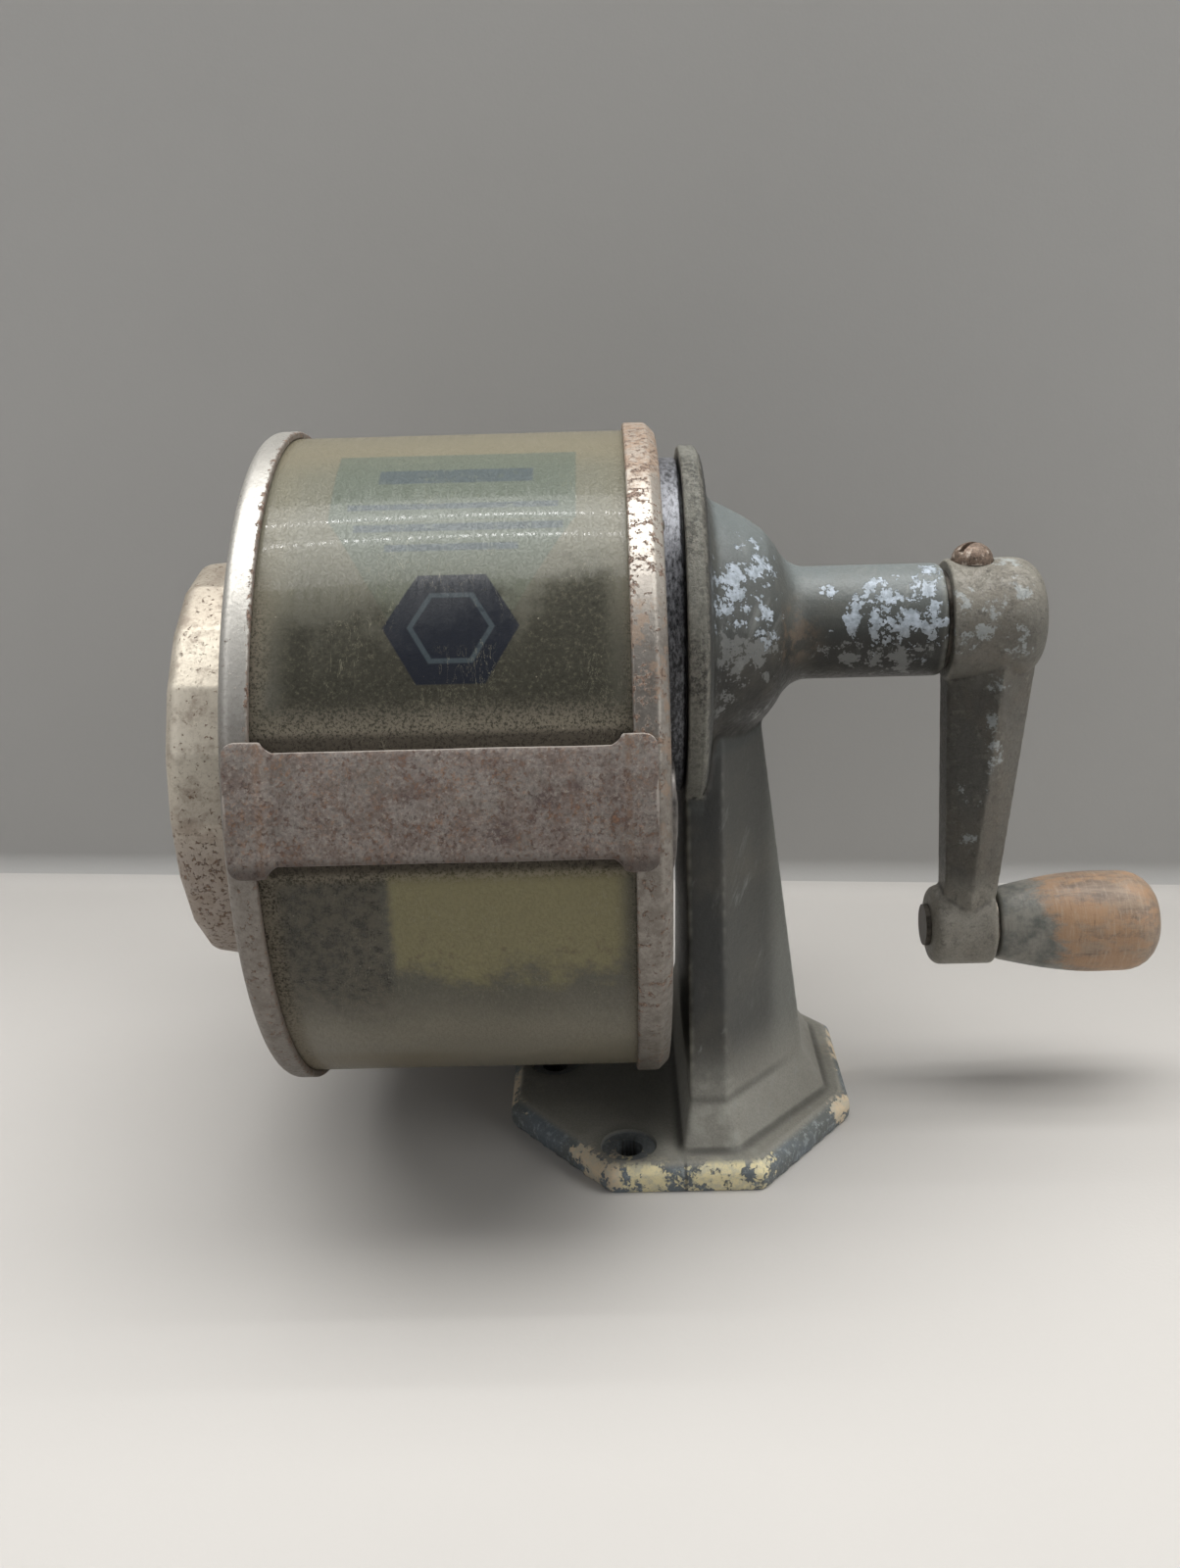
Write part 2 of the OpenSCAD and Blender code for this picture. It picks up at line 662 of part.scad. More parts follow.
// Milling cutter with blades wound along it
module cutter_body() {
    twist = 150;
    groove = 1.3;
    slices = 20;
    step = 360 / cutter_blades;
    root_r = cutter_r - groove;
    blade = [[root_r, 0.10], [cutter_r, 0.55], [cutter_r, 0.70], [root_r, 0.80]];
    pts = [for (i = [0:cutter_blades - 1]) for (p = blade)
        let (a = (i + p[1]) * step) [p[0] * cos(a), p[0] * sin(a)]];
    difference() {
        translate([0, 0, -cutter_start - cutter_len])
            linear_extrude(cutter_len, twist = twist, slices = slices) polygon(pts);
        translate([0, 0, -cutter_start - cutter_len - past])
            cylinder(r = arbor_r + pin_fit, h = cutter_len + 2 * past);
    }
}

// Pinion on the same arbor, tapered so that its teeth lie parallel to the ring's teeth
module pinion_body() {
    taper = pinion_face / 2 * tan(cutter_tilt) / pinion_pitch;
    front_share = 1 - taper;
    back_share = 1 + taper;
    difference() {
        union() {
            translate([0, 0, -pinion_face / 2]) linear_extrude(pinion_face, scale = back_share / front_share)
                scale(front_share) polygon(gear_pts(pinion_teeth, pinion_pitch, 1));
            translate([0, 0, -cutter_start + seat])
                cylinder(r = arbor_r + 1.6, h = cutter_start - pinion_face / 2);
        }
        translate([0, 0, -cutter_start - past])
            cylinder(r = arbor_r + pin_fit, h = pinion_face + cutter_start + 2 * past);
    }
}

module cutter_a() {
    color("silver") on_cutter(0) cutter_body();
}

module cutter_b() {
    color("silver") on_cutter(1) cutter_body();
}

module pinion_a() {
    color("darkgray") on_cutter(0) pinion_body();
}

module pinion_b() {
    color("darkgray") on_cutter(1) pinion_body();
}

module thrust_washer() {
    color("gray") on_shaft(neck_end + 0.06) tube(neck_r - 1, spindle_r + 0.1, washer_thick);
}

hub_screw_thread = 1.5;
hub_screw_deep = 2.2;
spot_face = 0.35;
hub_floor = 4.8;

// Section of the arm at one height: a rib along the near and far sides
arm_edge = 2.6;
arm_head_rib = 7.6;
arm_head_half = 7;
arm_foot_rib = 5;
arm_foot_half = 4.6;
arm_inset = 0.4;
function arm_pts(left, right, rib, half_wid) =
    mirrored([[left, arm_edge], [rib, half_wid], [right, arm_edge]]);

module crank_arm() {
    corner = 5;
    arm_top = shaft_h - 3;
    arm_low = knob_h + 1;
    bevel = 2;
    color("dimgray") difference() {
        union() {
            on_shaft(hub_x) rotate_extrude() polygon(concat([[0, 0], [hub_r, 0]],
                [for (a = [0:15:90]) [hub_r - corner + corner * cos(a), hub_len - corner + corner * sin(a)]],
                [[0, hub_len]]));
            loft(arm_low, arm_top,
                arm_pts(boss_x + bevel, boss_end - arm_inset, boss_x + arm_foot_rib, arm_foot_half),
                arm_pts(hub_x + slip, hub_end - arm_inset, hub_x + arm_head_rib, arm_head_half));
            on_knob(boss_x) rotate_extrude() polygon([[0, 0], [boss_r - 1, 0], [boss_r, bevel],
                [boss_r, boss_len - 0.6], [boss_r - 0.6, boss_len], [0, boss_len]]);
        }
        on_shaft(hub_x - past) cylinder(r = spindle_r + seat, h = hub_len - hub_floor + past);
        on_knob(boss_x - past) cylinder(r = stud_r + seat, h = boss_len + 2 * past);
        translate([screw_x, 0, shaft_h]) cylinder(r = hub_screw_thread + seat, h = hub_r + past);
        translate([screw_x, 0, shaft_h + hub_r - spot_face]) cylinder(r = hub_screw_r + 0.15, h = past);
    }
}

// Round-headed screw that holds the crank on the spindle
module hub_screw() {
    head_h = 2.7;
    base_z = shaft_h + hub_r - spot_face + seat;
    color("sienna") union() {
        translate([screw_x, 0, shaft_h + spindle_r - hub_screw_deep + 0.1])
            cylinder(r = hub_screw_thread, h = base_z - shaft_h - spindle_r + hub_screw_deep);
        translate([screw_x, 0, base_z]) rotate_extrude() polygon(concat([[0, 0]],
            [for (a = [0:15:90]) [hub_screw_r * cos(a), head_h * sin(a)]]));
    }
}

knob_recess = 3.4;
stud_head_h = 1.2;

module knob_stud() {
    tail = 0.8;
    stud_head_x = knob_end - knob_recess + slip;
    color("silver") union() {
        on_knob(boss_x - tail) cylinder(r = stud_r + 0.9, h = tail);
        on_knob(boss_x - 0.1) cylinder(r = stud_r, h = stud_head_x - boss_x + 0.2);
        on_knob(stud_head_x) cylinder(r = stud_head_r, h = stud_head_h);
    }
}

module knob_washer() {
    color("gray") on_knob(boss_end + 0.05) tube(stud_r + 2.2, stud_r + pin_fit, washer_thick - 0.15);
}

// Turned wooden knob, fatter towards its rounded outer end
module knob() {
    small_r = 5.5;
    round_r = 5.2;
    mid = knob_len * 0.62;
    end_r = knob_r - round_r;
    dome = round_r - 0.12;
    color("peru") difference() {
        on_knob(knob_x) rotate_extrude() polygon(concat(
            [[0, 0], [small_r - 0.5, 0], [small_r, 0.5]],
            [for (t = [0.15:0.15:0.9]) [small_r + (knob_r - small_r) * sin(90 * t), 0.5 + (mid - 0.5) * t]],
            [[knob_r, mid], [knob_r - 0.12, knob_len - round_r]],
            [for (a = [20:20:90]) [end_r + dome * cos(a), knob_len - round_r + round_r * sin(a)]],
            [[end_r, knob_len], [0, knob_len]]));
        on_knob(knob_x - past) cylinder(r = stud_r + pin_fit, h = knob_len + 2 * past);
        on_knob(knob_end - knob_recess) cylinder(r = stud_head_r + 0.4, h = knob_recess + past);
    }
}

stand();
ring_gear();
front_bush();
rear_bush();
front_cap();
rear_cap();
drum();
strap_near();
strap_far();
mount_collar();
collar_rivets();
latch_spring();
latch_rivet();
dial();
dial_rivet();
dial_spacer();
dial_washer();
detent_spring();
cutter_carrier();
pencil_guide();
arbor_pins();
spindle();
cutter_a();
pinion_a();
cutter_b();
pinion_b();
thrust_washer();
crank_arm();
hub_screw();
knob_stud();
knob_washer();
knob();
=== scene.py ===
# Hand-cranked pencil sharpener: the looks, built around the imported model.
# Sizes in the dictionaries are millimetres, and a mesh is scaled to metres when it is settled.
import math

import bmesh
import bpy
import numpy as np
from mathutils import Matrix, Vector, noise as ripple


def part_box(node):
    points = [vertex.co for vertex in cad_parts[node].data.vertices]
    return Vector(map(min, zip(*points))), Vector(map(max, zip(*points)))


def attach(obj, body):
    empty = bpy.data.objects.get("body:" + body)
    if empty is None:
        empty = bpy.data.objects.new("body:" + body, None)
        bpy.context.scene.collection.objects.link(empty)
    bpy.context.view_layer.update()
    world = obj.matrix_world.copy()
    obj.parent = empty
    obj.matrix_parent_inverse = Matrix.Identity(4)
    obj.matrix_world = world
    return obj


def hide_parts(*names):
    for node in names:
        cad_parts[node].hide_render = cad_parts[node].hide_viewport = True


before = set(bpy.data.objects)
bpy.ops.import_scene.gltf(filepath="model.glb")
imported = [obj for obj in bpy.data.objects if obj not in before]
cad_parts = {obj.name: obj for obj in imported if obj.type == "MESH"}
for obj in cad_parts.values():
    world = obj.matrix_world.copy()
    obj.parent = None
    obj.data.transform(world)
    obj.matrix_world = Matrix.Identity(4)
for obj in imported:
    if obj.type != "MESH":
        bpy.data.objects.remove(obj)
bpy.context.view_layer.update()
mm = 0.001
scene = bpy.context.scene


def reach(node):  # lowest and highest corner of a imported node, in millimetres
    low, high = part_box(node)
    return low / mm, high / mm


def centreZ(node):
    low, high = reach(node)
    return (low.z + high.z) / 2


def halfWidth(node):
    low, high = reach(node)
    return (high.y - low.y) / 2


shaftZ, drumZ, knobZ = centreZ("spindle"), centreZ("drum"), centreZ("knob")
drumR = halfWidth("drum")
rimR = halfWidth("rear_cap") - 0.012
rearFace = reach("rear_cap")[1].x
plateauX = reach("front_cap")[0].x
neckEnd = reach("stand")[1].x
hubX, hubEnd = reach("crank_arm")[0].x, reach("crank_arm")[1].x
flangeX = 0.85
frontFace = plateauX + 2.0


def rounded(corners, closed=True, turn=15):  # corners are (a, b) or (a, b, radius)
    points = []
    for i, corner in enumerate(corners):
        spot = Vector(corner[:2])
        if len(corner) < 3 or (not closed and i in (0, len(corners) - 1)):
            points.append(spot)
            continue
        back = Vector(corners[i - 1][:2]) - spot
        ahead = Vector(corners[(i + 1) % len(corners)][:2]) - spot
        half = back.angle(ahead) / 2
        cut = min(corner[2] / math.tan(half), 0.49 * back.length, 0.49 * ahead.length)
        middle = spot + (back.normalized() + ahead.normalized()).normalized() * (cut / math.cos(half))
        start = spot + back.normalized() * cut - middle
        end = spot + ahead.normalized() * cut - middle
        sweep = math.copysign(math.pi - 2 * half, start.cross(end))
        steps = max(1, round(abs(math.degrees(sweep)) / turn))
        points += [middle + Matrix.Rotation(sweep * k / steps, 2) @ start for k in range(steps + 1)]
    return points


def loft(sections, closed=False, capped=True):  # a surface through outlines; a lone point is a tip
    shape = bmesh.new()
    rings = [[shape.verts.new(spot) for spot in section] for section in sections]
    for near, far in zip(rings, rings[1:] + (rings[:1] if closed else [])):
        count = max(len(near), len(far))
        for i in range(count if count > 1 else 0):
            j = (i + 1) % count
            corners = (near[i % len(near)], near[j % len(near)], far[j % len(far)], far[i % len(far)])
            shape.faces.new(list(dict.fromkeys(corners)))
    for ring in (rings[0], rings[-1]):
        if capped and not closed and len(ring) > 2:
            shape.faces.new(ring)
    bmesh.ops.recalc_face_normals(shape, faces=shape.faces)
    return shape


def circle(radius, steps):  # a radius of nothing gives one point
    angles = [math.tau * i / steps for i in range(steps if radius > 0.001 else 1)]
    return [(radius * math.cos(a), radius * math.sin(a)) for a in angles]


def lathe(outline, axisZ, steps=180):  # outline of (x, radius) turned about a line along X
    sections = [[(x, side, axisZ + up) for up, side in circle(radius, steps)] for x, radius in outline]
    return loft(sections, min(outline[0][1], outline[-1][1]) > 0.001)


def upright(outline, x, y, steps=48):  # outline of (radius, z) turned about a line along Z
    return loft([[(x + along, y + side, z) for along, side in circle(radius, steps)]
                 for radius, z in outline])


def rod(x0, x1, radius, axisZ, steps=72, y=0):
    shape = lathe([(x0, 0), (x0, radius), (x1, radius), (x1, 0)], axisZ, steps)
    bmesh.ops.translate(shape, verts=shape.verts, vec=(0, y, 0))
    return shape


def makePiece(name, *shapes):
    whole = bmesh.new()
    for shape in shapes:
        spare = bpy.data.meshes.new("spare")
        shape.to_mesh(spare)
        shape.free()
        whole.from_mesh(spare)
        bpy.data.meshes.remove(spare)
    mesh = bpy.data.meshes.new(name)
    whole.to_mesh(mesh)
    whole.free()
    piece = bpy.data.objects.new(name, mesh)
    scene.collection.objects.link(piece)
    return piece


def bake(piece):  # the modifiers' result becomes the mesh
    bpy.context.view_layer.update()
    graph = bpy.context.evaluated_depsgraph_get()
    done = bpy.data.meshes.new_from_object(piece.evaluated_get(graph))
    old = piece.data
    piece.modifiers.clear()
    piece.data = done
    done.name = piece.name
    bpy.data.meshes.remove(old)
    return piece


def change(piece, kind, **settings):
    modifier = piece.modifiers.new(kind.lower(), kind)
    for setting, value in settings.items():
        setattr(modifier, setting, value)
    return modifier


def combine(piece, operation, *shapes):
    tools = [makePiece("tool", shape) for shape in shapes]
    for tool in tools:
        change(piece, "BOOLEAN", operation=operation, solver="MANIFOLD", object=tool)
    bake(piece)
    for tool in tools:
        bpy.data.objects.remove(tool)
    return piece


def castTogether(piece, grain, passes):  # melts overlapping solids into one casting with soft edges
    change(piece, "REMESH", mode="VOXEL", voxel_size=grain)
    change(piece, "SMOOTH", factor=0.5, iterations=passes)
    return bake(piece)


def softEdges(piece, width, segments, angle):
    change(piece, "BEVEL", width=width, segments=segments, limit_method="ANGLE",
           angle_limit=math.radians(angle))
    return bake(piece)


def markEdges(piece, sharpness, passes):  # stores where the surface bends and how far it faces up
    mesh = piece.data
    count = len(mesh.vertices)
    spots = np.empty(count * 3)
    mesh.vertices.foreach_get("co", spots)
    spots = spots.reshape(-1, 3)
    normals = np.array([vertex.normal for vertex in mesh.vertices])
    ends = np.empty(len(mesh.edges) * 2, np.int32)
    mesh.edges.foreach_get("vertices", ends)
    a, b = ends.reshape(-1, 2).T
    along = spots[b] - spots[a]
    bend = ((normals[b] - normals[a]) * along).sum(1) / np.maximum((along ** 2).sum(1), 1e-6)
    degree = np.maximum(np.bincount(a, minlength=count) + np.bincount(b, minlength=count), 1)
    curve = (np.bincount(a, bend, count) + np.bincount(b, bend, count)) / degree
    for turn in range(passes):
        around = (np.bincount(a, curve[b], count) + np.bincount(b, curve[a], count)) / degree
        curve = (curve + around) / 2
    ridge, hollow = [np.clip(side * curve * sharpness, 0, 1) for side in (1, -1)]
    for label, values in (("ridge", ridge), ("hollow", hollow), ("sky", 0.5 + 0.5 * normals[:, 2])):
        mesh.attributes.new(label, "FLOAT", "POINT").data.foreach_set("value", values)


def settle(piece, sharp=40):
    mesh = piece.data
    mesh.transform(Matrix.Scale(mm, 4))
    mesh.polygons.foreach_set("use_smooth", [True] * len(mesh.polygons))
    mesh.set_sharp_from_angle(angle=math.radians(sharp))
    mesh.update()
    return piece


def place(piece, material, body, slot, *nodes):
    piece.data.materials.clear()
    piece.data.materials.append(material)
    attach(piece, body)
    if nodes:
        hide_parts(*nodes)
    print("placed", piece.name, len(piece.data.polygons), "faces")


class Field:  # a value that varies over a piece; it becomes a node in each tree that needs it
    def __init__(self, kind, inputs, output=0, **settings):
        self.kind, self.inputs, self.output, self.settings = kind, inputs, output, settings

    def step(self, low, high, least=0.0, most=1.0):  # smooth step between two values
        ends = {"Value": self, "From Min": low, "From Max": high, "To Min": least, "To Max": most}
        return Field("ShaderNodeMapRange", ends, interpolation_type="SMOOTHSTEP")

    def band(self, low, high, soft):  # 1 between low and high
        return self.step(low - soft, low + soft) * self.step(high + soft, high - soft)


def maths(operation, *values):
    return Field("ShaderNodeMath", dict(enumerate(values)), operation=operation)


def vectors(operation, *values, output=0):
    return Field("ShaderNodeVectorMath", dict(enumerate(values)), output, operation=operation)


# Signs between fields: | takes the higher value and & the lower one.
for sign, operation in (("add", "ADD"), ("sub", "SUBTRACT"), ("mul", "MULTIPLY"), ("truediv", "DIVIDE"),
                        ("or", "MAXIMUM"), ("and", "MINIMUM")):
    setattr(Field, f"__{sign}__", lambda a, b, operation=operation: maths(operation, a, b))
    setattr(Field, f"__r{sign}__", lambda a, b, operation=operation: maths(operation, b, a))
Field.__abs__ = lambda field: maths("ABSOLUTE", field)

spot = vectors("MULTIPLY", Field("ShaderNodeTexCoord", {}, "Object"), (1 / mm,) * 3)
atX, atY, atZ = [Field("ShaderNodeSeparateXYZ", {0: spot}, axis) for axis in "XYZ"]


def noise(size, detail=4, rough=0.6, warp=0.0, stretch=None, at=spot):
    where = vectors("MULTIPLY", at, stretch) if stretch else at
    inputs = {"Vector": where, "Scale": 1 / size, "Detail": detail, "Roughness": rough, "Distortion": warp}
    return Field("ShaderNodeTexNoise", inputs, "Fac")


def cells(size, output):
    return Field("ShaderNodeTexVoronoi", {"Vector": spot, "Scale": 1 / size}, output)


def mark(label):
    return Field("ShaderNodeAttribute", {}, "Fac", attribute_name=label)


def angleAt(axisZ, alike=True):  # degrees above the level of an axis along X; alike on both sides, or from -Y
    return maths("ARCTAN2", atZ - axisZ, abs(atY) if alike else atY * -1.0) * (180 / math.pi)


def radiusAt(axisZ):
    rise = atZ - axisZ
    return maths("SQRT", rise * rise + atY * atY)


def gapTo(point):
    return vectors("DISTANCE", spot, point, output="Value")


def near(point, radius):
    return gapTo(point).step(radius, 0.35 * radius)


def tone(colour):  # screen colour, 0 to 255, as the shader reads it
    share = [value / 255 for value in colour]
    return [v / 12.92 if v < 0.04045 else ((v + 0.055) / 1.055) ** 2.4 for v in share] + [1]


def mix(share, *colours):
    first, second = [colour if isinstance(colour, Field) else tone(colour) for colour in colours]
    return Field("ShaderNodeMix", {0: share, 6: first, 7: second}, 2, data_type="RGBA")


def islands(spots, size, spread, level, soft):  # ragged patches round given places (x, y, z, reach)
    shards = vectors("MULTIPLY", cells(size * 0.3, "Color"), (0.4 * size,) * 3)
    ragged = noise(size, 6, 0.56, at=vectors("ADD", spot, shards))
    found = 0
    for *point, reachOut in spots:
        found = found | 1.0 - gapTo(point) / reachOut if found else 1.0 - gapTo(point) / reachOut
    return (found + (ragged - 0.5) * spread).step(level, level + soft)


class Network:  # wires fields into a node tree, each of them once
    def __init__(self, tree):
        self.tree = tree
        self.wired = {}

    def wire(self, field):
        if field not in self.wired:
            node = self.tree.nodes.new(field.kind)
            for setting, value in field.settings.items():
                setattr(node, setting, value)
            for label, value in field.inputs.items():
                self.feed(node.inputs[label], value)
            self.wired[field] = node.outputs[field.output]
        return self.wired[field]

    def feed(self, socket, value):
        if isinstance(value, Field):
            self.tree.links.new(self.wire(value), socket)
        else:
            socket.default_value = value


class Finish:  # one material, painted in layers
    def __init__(self, name, roughness, metallic=0.0):
        self.material = bpy.data.materials.new(name)
        self.material.use_nodes = True
        self.network = Network(self.material.node_tree)
        self.shader = self.material.node_tree.nodes["Principled BSDF"]
        self.give("Roughness", roughness)
        self.give("Metallic", metallic)

    def give(self, label, value):
        self.network.feed(self.shader.inputs[label], value)

    def paint(self, mask, colour):
        self.colour = mix(mask, self.colour, colour)

    def rust(self, amount, size=1.0, dark=(78, 60, 50), light=(142, 120, 104)):  # amount 0 to 1
        pits = (noise(size, 9, 0.74, 0.2) + amount * 0.3).step(0.66, 0.71)
        self.paint(pits, mix(noise(size / 3, 3, 0.6).step(0.35, 0.65), dark, light))
        return pits

    def done(self, *bumps):  # bumps are (height, depth), each laid over the one before
        normal = None
        for height, depth in bumps:
            inputs = {"Height": height, "Distance": depth * mm}
            if normal:
                inputs["Normal"] = normal
            normal = Field("ShaderNodeBump", inputs)
        self.give("Base Color", self.colour)
        self.give("Normal", normal)
        return self.material


enamel = dict(
    flat=(142, 140, 131), low=(142, 140, 132), legShadedFront=(61, 62, 61), legHalfShadedSide=(76, 76, 73),
    legLitBack=(110, 111, 106), under=(36, 36, 34), head=(84, 87, 85), top=(115, 122, 122),
    dust=(112, 106, 94), lipLow=(114, 112, 106), lipHigh=(112, 109, 100), chip=(186, 196, 208),
    dull=(124, 126, 125), cream=(226, 214, 172), peach=(206, 188, 160), primer=(104, 112, 118),
    bare=(158, 158, 148), grimeAndShade=(38, 36, 32),
    bright=((6.5, -15.3, 80.5, 4.6), (7.6, -13.4, 83.4, 3.4), (10.8, -10.1, 83.9, 4.2),
            (11.8, -12.8, 78.7, 3.0), (11.3, -14.1, 75.1, 2.4), (24.0, -7.6, 75.6, 2.6),
            (27.6, -7.5, 76.0, 4.2), (31.4, -7.7, 75.2, 4.6), (35.0, -7.7, 75.4, 3.8),
            (28.5, -5.6, 78.9, 3.2), (34.3, -5.8, 78.8, 3.0), (21.0, -5.6, 78.9, 1.6), (36, -2, 81, 2.6)),
    faded=((7.6, -16.3, 73.0, 5.4), (10.8, -14.6, 72.4, 4.4), (5.4, -17, 66, 3.4), (12.6, -11, 64, 3.0),
           (23.2, -7.4, 70.7, 3.2), (27.0, -7.1, 70.0, 3.6), (31.8, -6.8, 69.5, 4.2), (12, 9, 83, 6),
           (27, 6, 78, 6), (16, 8, 70, 5), (12, -3, 25, 4), (16, 9, 45, 5)),
    edge=((-14.0, -25.6, 2.4, 5.0), (-9.6, -29.0, 2.2, 3.4), (-5.4, -29.6, 1.8, 6.0), (4.4, -29.6, 2.4, 6.6),
          (10.4, -29.0, 2.6, 3.4), (24.2, -13.0, 2.6, 4.6), (25.4, 4, 2, 8), (14, 26, 2, 8), (-8, 29.6, 2, 8),
          (-25.4, -5, 2, 7), (-21, 18, 2, 8)))


def standEnamel():  # grey-green, flaked to pale metal up on the bell, cream undercoat on the plate's edge; painted light and shade on the pedestal, bell and neck
    finish = Finish("stand enamel", 0.4)
    look = enamel
    sky, ridge, hollow = mark("sky"), mark("ridge"), mark("hollow")
    cloud, fine, grit = noise(13, 5, 0.62), noise(0.7, 5, 0.7), noise(0.28, 3, 0.8)
    # The pedestal's facets are painted in light and shade: the front facet darkest, the side facet half
    # shaded, the back facet lit.
    leg = mix(atX.step(5.2, 6.6), look["legShadedFront"], look["legHalfShadedSide"])
    leg = mix(atX.step(12, 15), leg, look["legLitBack"])
    finish.colour = mix(atZ.step(4.1, 5.0), look["flat"], look["low"])
    finish.paint(atZ.step(9, 20), leg)
    # Painted light and shade on the bell and neck by how far they face up: a shaded underside, a mid tone and
    # a lit top.
    head = mix(sky.step(0.38, 0.72), look["under"], look["head"])
    head = mix(sky.step(0.7, 0.96), head, look["top"])
    bellR = (21.2 - atX * 0.6) & (24.5 - atX * 0.95)
    bellR = bellR | atX.step(3.9, 3.4) * 25.2 | bell["neck"]
    onBell = (radiusAt(shaftZ) - bellR).step(2.6, 1.2)
    finish.paint(onBell * atZ.step(44, 50), head)
    lip = radiusAt(shaftZ).band(23.5, 25.1, 0.4) * atX.step(3.8, 3.4)
    lipEdge = (atX.band(flangeX + 1.3, flangeX + 2.0, 0.25) + noise(0.7, 7, 0.78)).step(1.42, 1.56)
    crust = noise(0.7, 8, 0.82)
    lipShade = mix(atZ.step(62, 96), look["lipLow"], look["lipHigh"])
    lipShade = mix(noise(2.6, 8, 0.8).step(0.49, 0.54, 0, 0.8), lipShade, (160, 157, 147))
    lipShade = mix(crust.step(0.49, 0.45, 0, 0.85), lipShade, (40, 39, 36))
    lipShade = mix(crust.step(0.53, 0.58, 0, 0.6), lipShade, (168, 164, 152))
    finish.paint(lip, mix(lipEdge * 0.8, lipShade, look["bare"]))
    finish.paint(cloud.step(0.46, 0.74, 0, 0.275), look["dust"])
    streak = near((15.2, -8, 74), 6) * noise(2.2, 5, 0.7).step(0.46, 0.6)
    finish.paint(streak * 0.6, (112, 96, 80))
    finish.paint(grit.step(0.3, 0.75, 0, 0.3), (52, 52, 48))
    finish.paint(grit.step(0.66, 0.8, 0, 0.45), (150, 150, 142))
    fold = ridge.step(0.25, 1.0) * noise(6, 4, 0.6).step(0.36, 0.6, 0.15, 1.0)
    pits = 0.0
    for x, y in plate["holes"]:
        pits = near((x, y, plate["thick"] - 0.3), 6.5) | pits
    finish.paint(fold * pits.step(0.3, 0, 0, 0.5), look["bare"])
    heel = (near((3.5, -22.6, 9.6), 7) | near((6, -27, 4.2), 6)) * noise(2.6, 5, 0.62).step(0.42, 0.66)
    finish.paint(heel * 0.6, look["bare"])
    # Painted shade: dark bands along the front of the crease above the foot, and where the skirt meets the
    # plate.
    finish.paint(atZ.band(9.9, 10.9, 0.5) * atY.step(-10, -16) * 0.4, look["grimeAndShade"])
    finish.paint(atZ.band(4.1, 4.7, 0.2) * 0.4, look["grimeAndShade"])
    slanted = Field("ShaderNodeVectorRotate",
                    {"Vector": spot, "Axis": (0.86, -0.5, 0), "Angle": math.radians(38)})
    scuffs = noise(2.4, 7, 0.66, 0.3, (1, 1, 0.22), slanted).step(0.56, 0.72) * noise(11, 3).step(0.42, 0.62)
    finish.paint(scuffs * 0.55, (138, 141, 138))
    bright = islands(look["bright"], 1.8, 5, 0.5, 0.07)
    pale = mix(noise(1.0, 5, 0.7).step(0.35, 0.68), (138, 147, 154), look["chip"])
    # Chips that face down are painted darker: painted shade.
    pale = mix(sky.step(0.62, 0.48, 0, 0.55), pale, (120, 122, 122))
    finish.paint(islands(look["faded"], 1.9, 5, 0.5, 0.2) * 0.6, look["dull"])
    finish.paint(bright * 0.94, pale)
    sides = mix(cloud.step(0.4, 0.6), look["primer"], (96, 99, 97))
    sides = mix(noise(0.9, 7, 0.75).step(0.5, 0.62, 0, 0.5), sides, (164, 172, 172))
    finish.paint(atZ.step(3.9, 3.3) * atZ.step(-1, 0), sides)
    patch = mix(atX.step(-8.5, -10) | atX.step(14, 16), look["cream"], look["peach"])
    patch = mix(noise(1.4, 6, 0.75).step(0.44, 0.6, 0, 0.55), patch, (176, 176, 164))
    worn = islands(look["edge"], 2.2, 4.6, 0.42, 0.3) * atZ.step(4.1, 3.6)
    finish.paint(worn, patch)
    seam = atX.band(-0.35, 0.05, 0.1) * atZ.step(4.2, 3.6)
    finish.paint(seam * 0.6, look["grimeAndShade"])
    # Hollows and the screw-hole dishes are darkened: grime and painted shade.
    finish.paint(hollow.step(0.1, 0.7, 0, 0.85), look["grimeAndShade"])
    finish.paint(pits * 0.7, look["grimeAndShade"])
    finish.give("Roughness", fine.step(0.3, 0.8, 0.3, 0.54) + atZ.step(24, 6, 0, 0.2))
    finish.give("Specular IOR Level", 0.32)
    return finish.done(((bright | worn) * -1.0, 0.1), (noise(2.4, 4, 0.55), 0.14), (crust * lip, 0.5),
                       (fine, 0.08), (grit, 0.02))


crankFlecks = (
    (41.9, -8.4, 73.6, 2.4), (46.8, -8.0, 72.0, 2.6), (39.4, -8.2, 72.3, 2.0), (39.2, -7.5, 78.2, 2.4),
    (46.7, -6.5, 79.2, 2.2), (43.2, -7.9, 76.6, 2.0), (45.4, -6.0, 55.2, 2.4), (41.4, -5.5, 48.5, 2.6),
    (41.7, -5.5, 41.6, 2.2), (44.7, -6.5, 65.4, 2.0), (44, -6, 60, 1.6), (46, -1, 82, 2.8), (45, 6, 76, 3.0),
    (44, 5, 45, 3.0))


